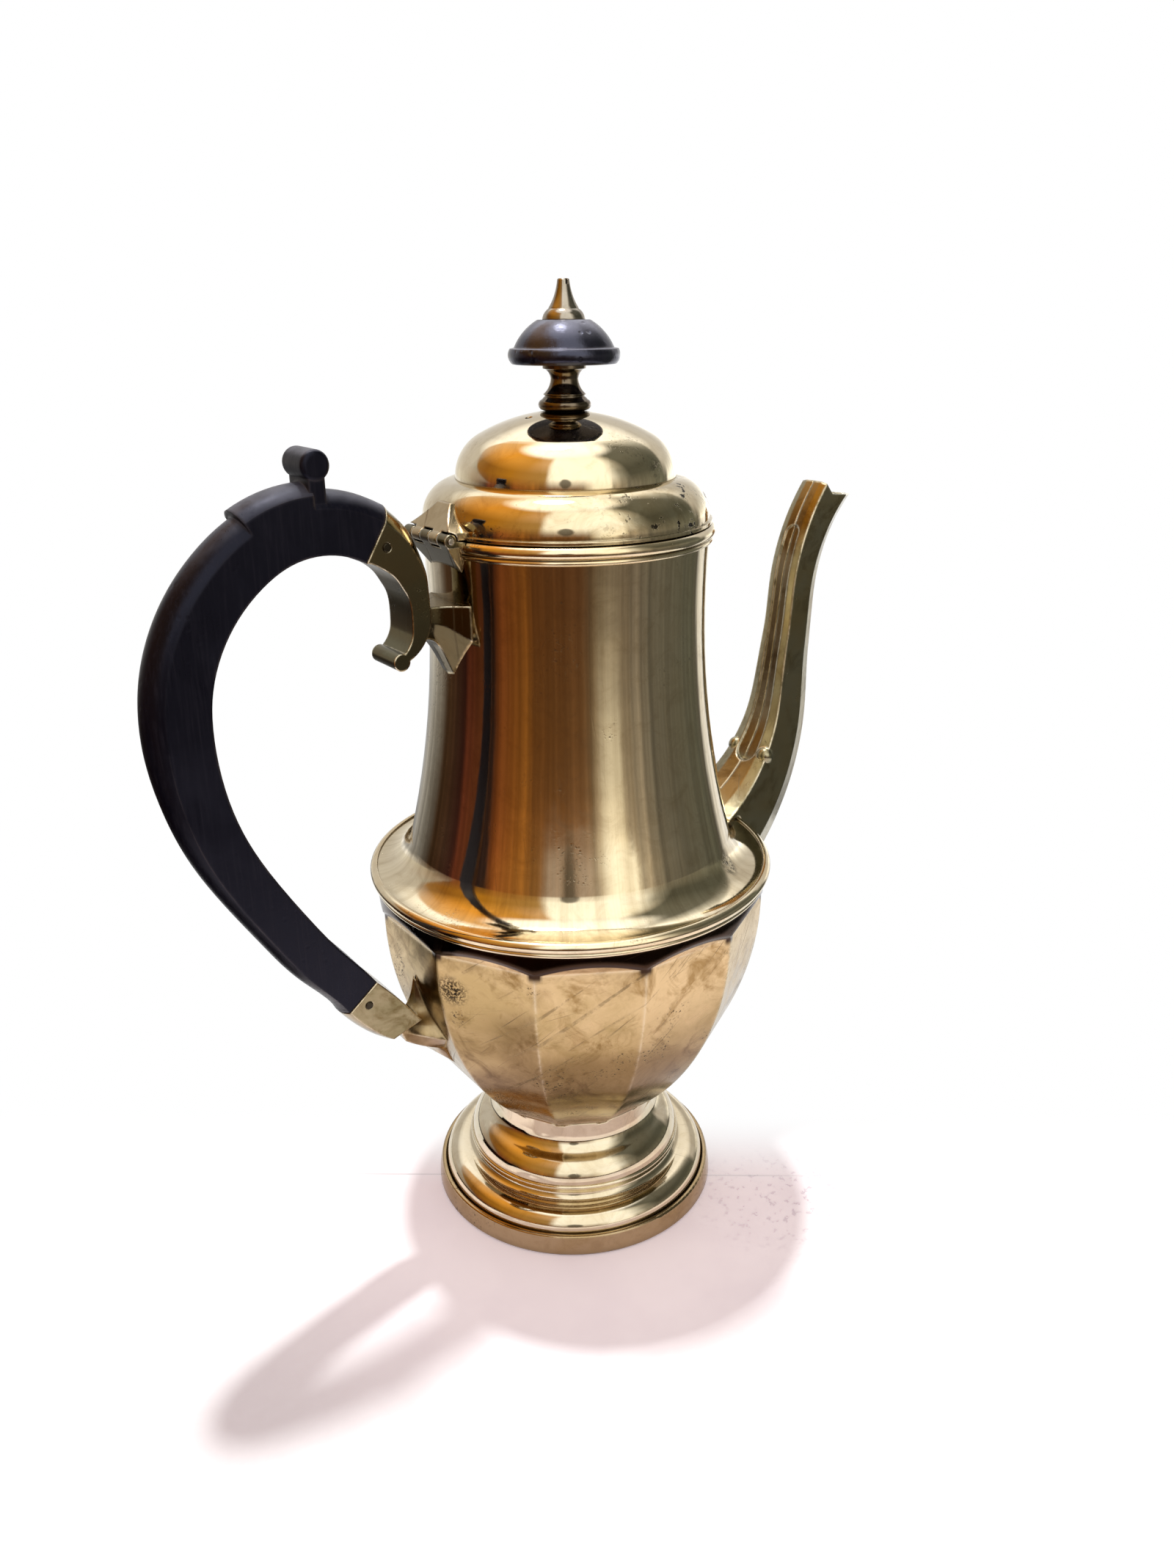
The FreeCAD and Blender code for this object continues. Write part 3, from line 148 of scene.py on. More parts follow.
# Heights of the surface's relief, in metres
SWELL = 0.00012
RIPPLE = 0.000008
GRAIN = 0.000001
BRUSHING = 0.0000025
SCRATCH_DEPTH = 0.000008
PIT_DEPTH = 0.00003

# The bowl's round blank before its panels: widest level, radius there, and twice the radius of its side's arc
BLANK_LEVEL = 0.0894
BLANK_RADIUS = 0.05088
BLANK_ARC = 0.158


def wrapped(t, radius):
    """Coordinates unrolled round the pot's axis: arc length and height."""
    x, y, z = t.split(t.own())
    bearing = t.math("ARCTAN2", y, x)
    return t.add("ShaderNodeCombineXYZ", {"X": t.times(bearing, radius), "Y": z}).outputs[0]


def streaks(t, vector, slant, along, across, low, high):
    """Long thin marks: noise stretched along one direction, with only its peaks kept."""
    turned = t.mapped(vector, turn=(0, 0, slant))
    drawn = t.mapped(turned, scale=(along, across, 1.0))
    return t.span(t.noise(drawn, 1.0, 2.0, 0.5, 0.2), low, high)


def round_lip(t):
    """The round lip of the bowl above its panels: 1 where the wall is still round."""
    x, y, level = t.split(t.own())
    out = t.math("POWER", t.math("ADD", t.math("POWER", x, 2.0), t.math("POWER", y, 2.0)), 0.5)
    drop = t.math("POWER", t.math("SUBTRACT", level, BLANK_LEVEL), 2.0)
    blank = t.math("SUBTRACT", BLANK_RADIUS, t.math("DIVIDE", drop, BLANK_ARC))
    still_round = t.span(t.math("SUBTRACT", out, blank), -0.00095, -0.00075)
    return t.times(still_round, t.span(level, 0.0885, 0.0905, smooth=True))


def scratches(t, skin, smudge, slant, scratch, gouges):
    """Fine lines and hairs in patches, and deeper gouges where asked for."""
    patches = t.span(t.noise(t.place(), 48.0, 2.0), 0.42, 0.58, smooth=True)
    lines = streaks(t, skin, slant, 22.0, 1500.0, 0.66, 0.72)
    hairs = streaks(t, skin, slant + 0.5, 60.0, 3200.0, 0.66, 0.74)
    marks = t.times(t.math("MAXIMUM", lines, t.times(hairs, 0.6)), patches)
    marks = t.times(marks, scratch, clamp=True)
    if gouges:
        deep = t.times(streaks(t, skin, slant + 0.12, 13.0, 620.0, 0.655, 0.7), gouges)
        marks = t.math("MAXIMUM", marks, t.times(deep, t.span(smudge, 0.4, 0.55)))
    return marks


def dark_spots(t, plain, pits, pit_scale, stains, stain_scale, stain_cut):
    """Pits in patches, and stains round the places given as (place, inner radius, outer radius)."""
    speckle = t.span(t.noise(plain, 1500.0, 2.0, 0.6), 0.58, 0.66)
    holes = t.math("MAXIMUM", t.span(t.cells(plain, pit_scale), 0.22, 0.08), t.times(speckle, 0.6))
    spots = t.times(holes, t.span(t.noise(plain, 62.0, 3.0, 0.6), 0.58, 0.66))
    spots = t.times(spots, pits, clamp=True)
    for place, inner, outer in stains:
        broken = t.span(t.noise(plain, stain_scale, 4.0, 0.7), *stain_cut)
        spots = t.math("MAXIMUM", spots, t.times(near(t, place, inner, outer), broken))
    return spots


def plate(name, tone, worn_tone, gloss=0.13, wear=0.5, scratch=0.3, slant=-0.8, pits=0.2, brushed=0.0, tarnish_and_shade=0.8,
          wave=1.0, soft=0.0004, wrap=0.0, stains=(), pit_scale=620.0, rubbed=0.0, lip=False, blunt=(0.99, 0.9),
          gouges=0.0, stain_scale=700.0, stain_cut=(0.47, 0.55), mottle=0.0, sink=None):
    """Worn plate: two tones in soft clouds, smudged gloss, scratches, pits, and tarnished corners that also carry
    painted shade.
    """
    material = bpy.data.materials.new(name)
    t = Tree(material)
    plain = t.place()
    skin = wrapped(t, wrap) if wrap else plain
    clouds = t.span(t.noise(plain, 34.0, 5.0, 0.62, 0.6), 0.36, 0.66, smooth=True)
    smudge = t.noise(plain, 150.0, 6.0, 0.7, 1.2)
    colour = t.mix(t.times(clouds, wear, clamp=True), (*tone, 1.0), (*worn_tone, 1.0))
    colour = t.tint(t.span(smudge, 0.48, 0.78, 0.0, 0.35), colour, SMUDGE_TINT)
    if mottle:
        dull = t.span(t.noise(plain, 105.0, 7.0, 0.68, 0.8), 0.5, 0.66, 0.0, mottle)
        colour = t.tint(dull, colour, DULL_TINT)
    if sink:
        uneven = t.times(t.math("SUBTRACT", smudge, 0.5), 0.03)
        level = t.math("ADD", t.split(plain)[2], uneven)
        colour = t.tint(t.span(level, *sink, smooth=True), colour, LOW_TINT)

    marks = scratches(t, skin, smudge, slant, scratch, gouges)
    spots = dark_spots(t, plain, pits, pit_scale, stains, stain_scale, stain_cut)
    rounded, sharp = edges(t, soft, blunt)
    edge = t.times(sharp, t.span(smudge, 0.38, 0.55))
    colour = t.mix(t.times(edge, rubbed), colour, RUBBED_COLOUR)
    if brushed:
        wiped = t.noise(t.mapped(skin, scale=(420, 5, 1)), 1.0, 4.0, 0.6)
        colour = t.tint(t.span(wiped, 0.42, 0.7, 0.0, 0.5), colour, WIPED_TINT)
    # Painted shade: corners and hollows darkened by ambient occlusion, together with tarnished metal there.
    corner = t.add("ShaderNodeAmbientOcclusion", {"Distance": 0.006}, samples=8).outputs["AO"]
    shade = t.span(t.math("ADD", corner, t.times(t.math("SUBTRACT", smudge, 0.5), 0.5)), 0.72, 0.3)
    shade = t.times(shade, tarnish_and_shade, clamp=True)
    colour = t.mix(t.times(marks, 0.75), colour, SCRATCH_COLOUR)
    colour = t.mix(shade, colour, TARNISH_AND_SHADE_COLOUR)
    colour = t.mix(spots, colour, PIT_COLOUR)

    rough = t.span(smudge, 0.3, 0.8, 0.55 * gloss, 1.7 * gloss)
    rough = t.math("ADD", rough, t.times(t.math("MAXIMUM", marks, spots), 0.35))
    rough = t.math("ADD", rough, t.times(shade, 0.25), clamp=True)
    if lip:
        round_part = round_lip(t)
        colour = t.mix(round_part, colour, LIP_COLOUR)
        rough = t.times(rough, t.span(round_part, 0.0, 1.0, 1.0, 0.35))

    swell = t.times(t.noise(plain, 46.0, 2.0, 0.5), SWELL * wave)
    ripple = t.times(t.noise(plain, 210.0, 2.0, 0.5), RIPPLE * wave)
    height = t.math("ADD", swell, ripple)
    height = t.math("ADD", height, t.times(t.noise(plain, 900.0, 3.0, 0.7), GRAIN))
    if brushed:
        upright = t.noise(t.place((1300, 1300, 14)), 1.0, 3.0, 0.6)
        height = t.math("ADD", height, t.times(upright, BRUSHING * brushed))
    height = t.math("SUBTRACT", height, t.times(marks, SCRATCH_DEPTH))
    height = t.math("SUBTRACT", height, t.times(spots, PIT_DEPTH))
    normal = t.bump(height, Strength=1.0, Normal=rounded)
    t.surface(t.add("ShaderNodeBsdfPrincipled", {"Base Color": colour, "Metallic": 1.0, "Roughness": rough,
                                                 "Normal": normal}))
    return material


# Wood

GRAIN_COLOUR = (0.01, 0.0085, 0.012, 1.0)
BLOTCH_COLOUR = (0.006, 0.006, 0.011, 1.0)
BARE_EDGE_COLOUR = (0.12, 0.1, 0.09, 1.0)
SHEEN_TINT = (0.7, 0.72, 1.0, 1.0)

# Heights of the wood's relief, in metres
FIBRE = 0.000006
UNEVENNESS = 0.00006
CRACKLE = 0.00004
DENT = 0.00012


def ebonised(name, tone=(0.002, 0.002, 0.005), gloss=0.34, crackle=0.3, shine=0.26, top_sheen=0.1):
    """Black-stained wood with a waxed sheen, fine grain, rubbed edges, a few dents and a painted pale bluish sheen on
    its upper faces.
    """
    material = bpy.data.materials.new(name)
    t = Tree(material)
    plain = t.place()
    grain = t.noise(t.place((1500, 1500, 60)), 1.0, 5.0, 0.65, 0.4)
    blotch = t.noise(plain, 70.0, 4.0, 0.6, 0.5)
    colour = t.mix(t.span(grain, 0.5, 0.8), (*tone, 1.0), GRAIN_COLOUR)
    colour = t.mix(t.span(blotch, 0.5, 0.75, 0.0, 0.5), colour, BLOTCH_COLOUR)
    rounded, sharp = edges(t, soft=0.0009, blunt=(0.985, 0.86))
    edge = t.times(sharp, t.span(blotch, 0.4, 0.62))
    colour = t.mix(t.times(edge, 0.55), colour, BARE_EDGE_COLOUR)
    # Painted highlight: faces that point up are lightened to a pale bluish grey, in blotches.
    facing_up = t.split(t.add("ShaderNodeTexCoord").outputs["Normal"])[2]
    upward = t.span(facing_up, 0.5, 0.9, smooth=True)
    upward = t.times(upward, t.span(blotch, 0.38, 0.58, 0.35, 1.0))
    colour = t.mix(upward, colour, (top_sheen, 1.04 * top_sheen, 1.22 * top_sheen, 1.0))

    dents = t.times(t.span(t.cells(plain, 420.0), 0.3, 0.1), t.span(t.noise(plain, 90.0), 0.52, 0.62))
    rough = t.span(t.math("ADD", grain, blotch), 0.7, 1.4, 0.75 * gloss, 1.45 * gloss)
    height = t.math("ADD", t.times(grain, FIBRE), t.times(blotch, UNEVENNESS))
    height = t.math("ADD", height, t.times(t.noise(plain, 520.0, 3.0, 0.6), CRACKLE * crackle))
    height = t.math("SUBTRACT", height, t.times(dents, DENT * crackle))
    normal = t.bump(height, Strength=1.0, Normal=rounded)
    t.surface(t.add("ShaderNodeBsdfPrincipled", {"Base Color": colour, "Roughness": rough, "IOR": 1.5,
                                                 "Specular IOR Level": shine, "Specular Tint": SHEEN_TINT,
                                                 "Normal": normal}))
    return material


# The pieces' materials

SILVER = (0.84, 0.73, 0.52)
BRASS = (0.76, 0.55, 0.29)
OXIDE = (0.155, 0.14, 0.08)
neck_plate = plate("neck_plate", SILVER, (0.8, 0.66, 0.43), gloss=0.08, wear=0.5, scratch=0.15, pits=0.5, brushed=1.0,
                   wrap=0.036, slant=1.4, stains=[((0.0225, -0.0375, 0.104), 0.0005, 0.004)])
bowl_plate = plate("bowl_plate", (0.74, 0.55, 0.3), (0.5, 0.36, 0.16), gloss=0.2, wear=0.9, scratch=1.0, pits=1.0,
                   soft=0.0014, wave=0.6, wrap=0.045, lip=True, rubbed=0.6, blunt=(0.996, 0.97), gouges=0.45,
                   mottle=0.9, sink=(0.083, 0.062),
                   stains=[((-0.0472, -0.0165, 0.0815), 0.001, 0.0055)], stain_scale=1500.0)
lid_plate = plate("lid_plate", SILVER, (0.8, 0.64, 0.4), gloss=0.05, wear=0.4, scratch=0.15, pits=0.5, wrap=0.03,
                  stains=[((0.008, -0.026, 0.201), 0.0, 0.004)])
band_plate = plate("band_plate", (0.8, 0.69, 0.48), (0.62, 0.48, 0.27), gloss=0.06, wear=0.7, scratch=0.2, pits=0.8,
                   wrap=0.03, mottle=0.5, stain_scale=330.0, stain_cut=(0.585, 0.62),
                   stains=[((0.009, -0.033, 0.193), 0.008, 0.026), ((0.03, -0.02, 0.192), 0.002, 0.02)])
foot_plate = plate("foot_plate", (0.72, 0.63, 0.47), (0.56, 0.44, 0.26), gloss=0.06, wear=0.5, scratch=0.2, pits=0.15,
                   wave=0.15, wrap=0.03, rubbed=0.4, tarnish_and_shade=0.25)
base_plate = plate("base_plate", (0.43, 0.32, 0.19), (0.36, 0.25, 0.12), gloss=0.12, wear=0.8, scratch=0.3, pits=0.8,
                   wrap=0.03, rubbed=0.6)
spout_plate = plate("spout_plate", (0.37, 0.34, 0.235), (0.36, 0.29, 0.15), gloss=0.2, wear=0.9, scratch=0.3, pits=1.0,
                    wave=1.6, soft=0.0009, rubbed=1.0, pit_scale=420.0, mottle=0.8)
bead_plate = plate("bead_plate", SILVER, BRASS, gloss=0.1, wear=0.6, scratch=0.3, pits=0.6, wave=0.4)
trim_plate = plate("trim_plate", OXIDE, (0.2, 0.145, 0.07), gloss=0.13, wear=0.7, scratch=0.95, pits=1.0, wave=0.7,
                   soft=0.0006, rubbed=1.0)
leaf_plate = plate("leaf_plate", (0.58, 0.46, 0.29), (0.42, 0.3, 0.15), gloss=0.1, wear=0.7, scratch=0.9, pits=0.7,
                   wave=0.5, soft=0.0006, rubbed=0.9)
bracket_plate = plate("bracket_plate", (0.12, 0.1, 0.055), (0.16, 0.11, 0.05), gloss=0.12, wear=0.7, scratch=0.6,
                      pits=1.0, wave=0.8, soft=0.0007, rubbed=1.0)
ferrule_plate = plate("ferrule_plate", (0.47, 0.39, 0.25), (0.2, 0.17, 0.08), gloss=0.16, wear=0.9, scratch=1.0,
                      pits=1.0, wave=0.8, soft=0.0007, rubbed=1.0, mottle=0.9)
lug_plate = plate("lug_plate", (0.5, 0.38, 0.22), (0.22, 0.15, 0.07), gloss=0.14, wear=0.8, scratch=0.5, pits=1.0,
                  wave=1.0, soft=0.0007, rubbed=1.0, mottle=0.8)
pin_plate = plate("pin_plate", (0.06, 0.052, 0.035), (0.04, 0.03, 0.02), gloss=0.3, wear=0.6, scratch=0.2, pits=0.6,
                  wave=0.3)
stem_plate = plate("stem_plate", (0.2, 0.16, 0.115), (0.14, 0.1, 0.06), gloss=0.12, wear=0.7, scratch=0.2, pits=0.6,
                   wave=0.3, rubbed=0.6)
tip_plate = plate("tip_plate", (0.42, 0.375, 0.31), (0.3, 0.23, 0.16), gloss=0.14, wear=0.5, scratch=0.3, pits=0.4,
                  wave=0.3)
fastener_steel = plate("fastener_steel", (0.62, 0.58, 0.52), (0.5, 0.44, 0.36), gloss=0.28, wear=0.5, scratch=0.3,
                       pits=0.3, wave=0.2)
handle_wood = ebonised("handle_wood")
knob_wood = ebonised("knob_wood", gloss=0.2, crackle=2.0, shine=1.0, top_sheen=0.16)

LOOKS = {
    "neck_shell": neck_plate, "bowl_shell": bowl_plate, "shoulder_bead": bead_plate, "mouth_bead": bead_plate,
    "pedestal_foot": foot_plate, "foot_bead": foot_plate, "base_band": base_plate,
    "spout_left_half": spout_plate, "spout_right_half": spout_plate,
    "handle": handle_wood, "upper_handle_pin": pin_plate, "lower_handle_pin": pin_plate,
    "upper_socket": trim_plate, "upper_bracket": bracket_plate,
    "lower_socket": ferrule_plate, "lower_bracket": lug_plate,
    "hinge_body_leaf": trim_plate, "hinge_lid_leaf": leaf_plate, "hinge_pin": fastener_steel,
    "lid_dome": lid_plate, "lid_band": band_plate, "lid_bezel": lid_plate,
    "finial_stem": stem_plate, "finial_knob": knob_wood, "finial_tip": tip_plate,
    "finial_rod": fastener_steel, "finial_nut": fastener_steel, "finial_washer": fastener_steel,
}
for name, material in LOOKS.items():
    piece = nodes[name]
    piece.data.materials.clear()
    piece.data.materials.append(material)


# The room, seen only in the metal. A share is a part of a turn round the pot, with the viewer's side at a half,
# the left below it and the right above it. A height is the upward part of a direction.

WHITE = (1.0, 1.0, 1.0)
VIEWER_TURN = math.radians(125)
LEFT_WALL = (0.579, 0.15, -0.802)
RIGHT_WALL = (0.78, 0.62, -0.041)
LAMP_DIRECTION = (0.018, 0.172, 0.985)
VIEWER_SHARE, VIEWER_WIDTH = 0.498, 0.017
VIEWER_HEIGHT, VIEWER_RISE = 0.14, 0.17
FILL_COLOUR, FILL_STRENGTH = (1.0, 0.855, 0.865, 1.0), 0.745


def bearing_from_viewer(t, vector):
    """The share of a turn from the viewer, and the direction's height."""
    turned = t.add("ShaderNodeVectorRotate", {"Vector": vector, "Angle": VIEWER_TURN},
                   rotation_type="Z_AXIS").outputs[0]
    x, y, z = t.split(turned)
    return t.span(t.math("ARCTAN2", y, x), -math.pi, math.pi), z


def low_room(t, share):
    """What stands at table height: white behind, brown wood on the left, a pale opening, grey-olive on the right."""
    room = t.ramp(share, [
        (0.0, (1.2, 1.2, 1.2)), (0.1, WHITE), (0.15, (0.46, 0.45, 0.45)), (0.19, (0.1, 0.055, 0.03)),
        (0.25, (0.04, 0.014, 0.012)), (0.265, (0.11, 0.03, 0.016)), (0.307, (0.12, 0.04, 0.016)),
        (0.318, (0.02, 0.012, 0.012)), (0.336, (0.026, 0.014, 0.012)), (0.346, (0.18, 0.055, 0.016)),
        (0.41, (0.23, 0.09, 0.018)), (0.425, (0.145, 0.06, 0.018)), (0.53, (0.14, 0.07, 0.03)),
        (0.57, (0.26, 0.2, 0.13)), (0.65, (0.3, 0.26, 0.21)), (0.685, (0.15, 0.14, 0.12)),
        (0.83, (0.11, 0.115, 0.095)), (0.85, (0.1, 0.095, 0.08)), (0.87, WHITE), (1.0, (1.2, 1.2, 1.2)),
    ])
    grain = t.noise(t.add("ShaderNodeCombineXYZ", {"X": share}).outputs[0], 85.0, 3.0, 0.65)
    return t.tint(1.0, room, t.span(grain, 0.32, 0.68, 0.62, 1.38))


def middle_room(t, share):
    """The walls above the table: dark orange wood on the left, a white window ahead, olive on the right."""
    return t.ramp(share, [
        (0.0, WHITE), (0.08, (0.75, 0.74, 0.74)), (0.14, (0.6, 0.56, 0.54)), (0.19, (0.36, 0.19, 0.06)),
        (0.235, (0.3, 0.125, 0.02)), (0.33, (0.5, 0.22, 0.022)), (0.44, (0.5, 0.3, 0.1)), (0.456, (1.5, 1.5, 1.45)),
        (0.625, (1.5, 1.5, 1.45)), (0.665, (0.38, 0.37, 0.32)), (0.7, (0.1, 0.1, 0.08)), (0.83, (0.11, 0.115, 0.095)),
        (0.89, (0.3, 0.3, 0.28)), (0.94, (0.75, 0.75, 0.75)), (1.0, WHITE),
    ])


def high_room(t, share):
    """Under the ceiling: the orange wood brightly lit, the window's top, a lighter olive, white all round behind."""
    return t.ramp(share, [
        (0.0, (1.7, 1.7, 1.7)), (0.06, (1.5, 1.4, 1.3)), (0.105, (1.0, 0.6, 0.26)), (0.25, (0.98, 0.44, 0.06)),
        (0.37, (0.75, 0.38, 0.08)), (0.435, (0.85, 0.55, 0.3)), (0.455, (1.6, 1.6, 1.55)), (0.64, (1.5, 1.5, 1.4)),
        (0.68, (0.5, 0.47, 0.4)), (0.7, (0.17, 0.17, 0.14)), (0.85, (0.19, 0.19, 0.165)), (0.9, (0.75, 0.75, 0.72)),
        (0.94, (1.7, 1.7, 1.7)),
    ])


def opening_share(t, share, wide=0.0):
    """The bright opening ahead, a little to the right."""
    return t.times(t.span(share, 0.545, 0.588, smooth=True), t.span(share, 0.62 + wide, 0.604 + wide, smooth=True))


def left_end_share(t, share):
    """The table's pale left end."""
    return t.span(share, 0.27, 0.15, 0.0, 0.8, smooth=True)


def with_viewer(t, room, share, height):
    """The dark figure of the viewer in front of the room."""
    across = t.math("DIVIDE", t.math("SUBTRACT", share, VIEWER_SHARE), VIEWER_WIDTH)
    upward = t.math("DIVIDE", t.math("SUBTRACT", height, VIEWER_HEIGHT), VIEWER_RISE)
    viewer = t.math("ADD", t.math("POWER", across, 2.0), t.math("POWER", upward, 2.0))
    return t.mix(t.span(viewer, 1.3, 0.7, 0.0, 0.85), room, (0.09, 0.075, 0.055, 1.0))


def with_pale_walls(t, room, direction, share, height):
    """Pale walls beyond slanting edges on the left and the right: darker in front, brighter under the ceiling."""
    on_left = t.times(t.span(t.dot(direction, LEFT_WALL), -0.47, -0.42), t.span(share, 0.46, 0.45))
    on_right = t.span(t.dot(direction, RIGHT_WALL), 0.7, 0.74)
    walls = t.times(t.math("MAXIMUM", on_left, on_right), t.span(height, -0.02, 0.3))
    front = t.times(t.span(share, 0.16, 0.22), t.span(share, 0.86, 0.8))
    shaded = t.times(front, t.span(height, 0.05, 0.3))
    pale = t.mix(shaded, (0.66, 0.64, 0.62, 1.0), (0.27, 0.245, 0.195, 1.0))
    high_pale = t.mix(front, grey(1.5), (0.7, 0.62, 0.48, 1.0))
    pale = t.mix(t.span(height, 0.48, 0.66), pale, high_pale)
    return t.mix(walls, room, pale)


def with_ceiling(t, room, direction, height):
    """A white ceiling with the lamp in it."""
    lamp = t.dot(direction, LAMP_DIRECTION)
    ceiling = t.mix(t.span(lamp, 0.78, 0.97, smooth=True), grey(1.3), grey(1.9))
    room = t.mix(t.span(height, 0.86, 0.95, smooth=True), room, ceiling)
    return t.mix(t.span(lamp, 0.99, 0.996, smooth=True), room, grey(18.0))


def build_world():
    """White where the camera looks, a soft fill for the shadows, and the room for the metal to mirror."""
    world = bpy.data.worlds.new("room")
    bpy.context.scene.world = world
    t = Tree(world)
    direction = t.add("ShaderNodeTexCoord").outputs["Generated"]
    share, height = bearing_from_viewer(t, direction)
    table = t.tint(1.0, low_room(t, share), (1.65, 1.65, 1.6, 1.0))
    table = t.mix(left_end_share(t, share), table, (0.6, 0.57, 0.5, 1.0))
    table = t.mix(opening_share(t, share, 0.02), table, (1.4, 1.35, 1.2, 1.0))
    room = t.mix(t.span(height, -0.06, 0.3), table, middle_room(t, share))
    room = t.mix(t.span(height, 0.48, 0.76), room, high_room(t, share))
    room = with_viewer(t, room, share, height)
    room = with_pale_walls(t, room, direction, share, height)
    room = with_ceiling(t, room, direction, height)

    light = t.add("ShaderNodeLightPath")
    mirrored = t.add("ShaderNodeBackground", {"Color": room, "Strength": 1.0})
    seen = t.add("ShaderNodeBackground", {"Color": grey(1.0), "Strength": 1.0})
    fill = t.add("ShaderNodeBackground", {"Color": FILL_COLOUR, "Strength": FILL_STRENGTH})
    unseen = t.blend(light.outputs["Is Glossy Ray"], fill, mirrored)
    t.surface(t.blend(light.outputs["Is Camera Ray"], unseen, seen), "ShaderNodeOutputWorld")
    world.cycles.sampling_method = "NONE"


# The floor

FLOOR_HALF = 3.0
TO_THE_BACK = (0.6, 0.8, 0.0)
EDGE_LINE_BACK = -0.0067
SPECKS_AT = (0.035, -0.045, 0.0)
SHEET_EDGE, SHEET_EDGE_LEFT = 0.235, 0.1
PAPER_RELIEF = 0.00002
PAINTED_BOUNCE_COLOUR = (1.0, 0.8, 0.82, 1.0)


def paper(t, plain, reach):
    """Pale paper with fibres, soft clouds round the pot, a patch of specks on the right and a painted warm glow of
    bounced light round the foot.
    """
    fibres = t.noise(plain, 260.0, 4.0, 0.6)
    colour = t.mix(t.span(fibres, 0.35, 0.7), (0.95, 0.945, 0.94, 1.0), (0.93, 0.92, 0.915, 1.0))
    around = t.span(reach, 0.095, 0.07, smooth=True)
    clouds = t.times(t.span(t.noise(plain, 26.0, 4.0, 0.6), 0.4, 0.6), around)
    colour = t.tint(clouds, colour, (0.93, 0.92, 0.935, 1.0))
    specks = t.span(t.noise(plain, 430.0, 4.0, 0.62), 0.56, 0.62)
    specks = t.times(specks, near(t, SPECKS_AT, 0.006, 0.03))
    colour = t.tint(specks, colour, (0.68, 0.65, 0.69, 1.0))
    sheet = t.add("ShaderNodeBsdfDiffuse", {"Color": colour, "Normal": t.bump(t.times(fibres, PAPER_RELIEF))})
    # Painted light: the paper glows warm near the pot's foot, standing in for light bounced off the metal.
    painted_bounce = t.glow(PAINTED_BOUNCE_COLOUR, t.span(reach, 0.12, 0.05, 0.0, 0.26, smooth=True))
    return t.add("ShaderNodeAddShader", {0: sheet.outputs[0], 1: painted_bounce.outputs[0]})


def seen_ground(t, plain, reach):
    """The paper, fading into white all round and past its far edge, with a thin painted shade line along the sheet's
    edge on both sides of the foot.
    """
    back = t.dot(plain, TO_THE_BACK)
    past = t.span(back, -0.014, 0.022, smooth=True)
    faded = t.math("MAXIMUM", t.span(reach, 0.24, 0.5, smooth=True), past)
    ground = t.blend(faded, paper(t, plain, reach), t.glow(grey(1.0)))
    # Painted shade: a thin dark grey line glows along the sheet's edge in place of the shade a real edge would cast.
    off_line = t.math("ABSOLUTE", t.math("SUBTRACT", back, EDGE_LINE_BACK))
    painted_edge_line = t.times(t.span(off_line, 0.0004, 0.0001, 0.0, 0.45), t.span(reach, 0.075, 0.05, smooth=True))
    return t.blend(painted_edge_line, ground, t.glow((0.42, 0.4, 0.4, 1.0)))


def mirrored_table(t, share, reach):
    """The table beyond the paper, as the metal mirrors it: the low room, darker close by and brighter far away."""
    close = t.ramp(share, [
        (0.2, (0.4, 0.4, 0.4)), (0.335, (0.32, 0.3, 0.3)), (0.345, (0.8, 0.75, 0.8)), (0.52, (0.75, 0.7, 0.75)),
        (0.56, (0.5, 0.48, 0.5)), (0.66, (0.55, 0.55, 0.58)), (0.69, WHITE),
    ])
    close = t.mix(t.span(reach, 0.56, 0.92), close, grey(1.0))
    table = t.tint(1.0, low_room(t, share), close)
    left_end = t.times(t.span(reach, 0.7, 2.6), left_end_share(t, share))
    table = t.mix(left_end, table, (0.36, 0.34, 0.3, 1.0))
    far = t.span(reach, 1.0, 2.8)
    opening = t.times(opening_share(t, share), t.span(reach, 0.58, 1.0))
    table = t.mix(t.times(opening, t.span(far, 0.0, 1.0, 0.75, 1.0)), table, (0.8, 0.74, 0.62, 1.0))
    strength = t.span(reach, 0.2, 0.4, 0.3, 1.0, smooth=True)
    return t.glow(table, t.times(strength, t.span(far, 0.0, 1.0, 1.0, 1.65)))


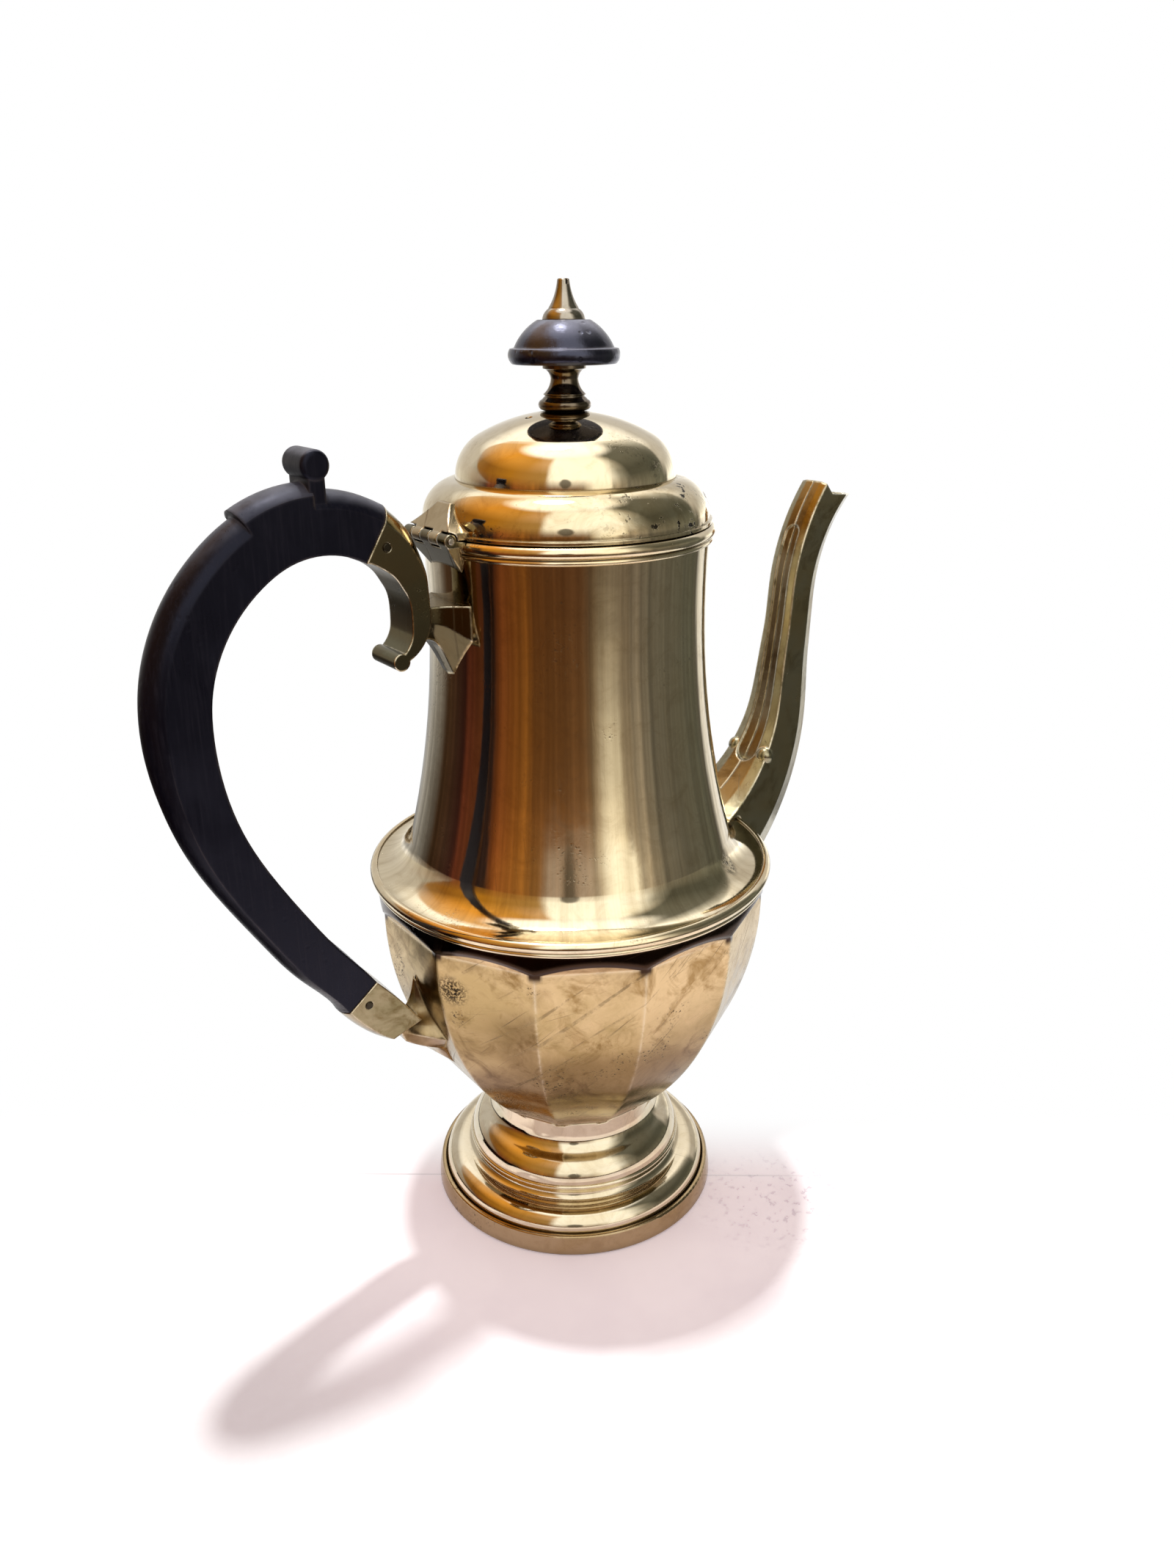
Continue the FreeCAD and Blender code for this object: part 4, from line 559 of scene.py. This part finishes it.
def build_floor():
    """A pale sheet under the pot that fades into the white ground; beyond it, metal mirrors the table."""
    corners = [(-FLOOR_HALF, -FLOOR_HALF, 0), (FLOOR_HALF, -FLOOR_HALF, 0),
               (FLOOR_HALF, FLOOR_HALF, 0), (-FLOOR_HALF, FLOOR_HALF, 0)]
    mesh = bpy.data.meshes.new("floor")
    mesh.from_pydata(corners, [], [(0, 1, 2, 3)])
    floor = bpy.data.objects.new("floor", mesh)
    bpy.context.scene.collection.objects.link(floor)
    material = bpy.data.materials.new("pale_paper")
    t = Tree(material)
    plain = t.place()
    share, _ = bearing_from_viewer(t, plain)
    reach = t.add("ShaderNodeVectorMath", {0: plain}, operation="LENGTH").outputs["Value"]
    on_left = t.times(t.span(share, 0.2, 0.22), t.span(share, 0.345, 0.325))
    sheet_edge = t.span(on_left, 0.0, 1.0, SHEET_EDGE, SHEET_EDGE_LEFT)
    beyond = t.span(t.math("SUBTRACT", reach, sheet_edge), 0.0, 0.012, smooth=True)
    away = t.times(t.add("ShaderNodeLightPath").outputs["Is Glossy Ray"], beyond)
    t.surface(t.blend(away, seen_ground(t, plain, reach), mirrored_table(t, share, reach)))
    material.cycles.emission_sampling = "NONE"
    mesh.materials.append(material)


# Lamp and camera

LAMP_PLACE = (0.026, 0.245, 1.5)
LAMP_AIM = (0, 0, 0.1)
LAMP_SIZE = 0.08
LAMP_POWER = 13.0
CAMERA_PLACE = (-0.16842, -0.24053, 0.23397)
CAMERA_ANGLES = (68.599, 0.394, -36.027)
CAMERA_LENS = 27.94


def build_lamp():
    """The key lamp. Metal doesn't mirror it: the room has its own picture of the lamp."""
    lamp = bpy.data.lights.new("key", "AREA")
    lamp.shape = "DISK"
    lamp.size = LAMP_SIZE
    lamp.energy = LAMP_POWER
    item = bpy.data.objects.new("key", lamp)
    item.location = LAMP_PLACE
    item.rotation_euler = (Vector(LAMP_AIM) - Vector(LAMP_PLACE)).to_track_quat("-Z", "Y").to_euler()
    item.visible_glossy = False
    bpy.context.scene.collection.objects.link(item)


def build_camera():
    camera = bpy.data.cameras.new("camera")
    camera.lens = CAMERA_LENS
    camera.sensor_width = 36.0
    camera.clip_start = 0.01
    item = bpy.data.objects.new("camera", camera)
    item.location = CAMERA_PLACE
    item.rotation_euler = [math.radians(angle) for angle in CAMERA_ANGLES]
    bpy.context.scene.collection.objects.link(item)
    bpy.context.scene.camera = item


build_world()
build_floor()
build_lamp()
build_camera()
bpy.context.scene.view_settings.view_transform = "Standard"
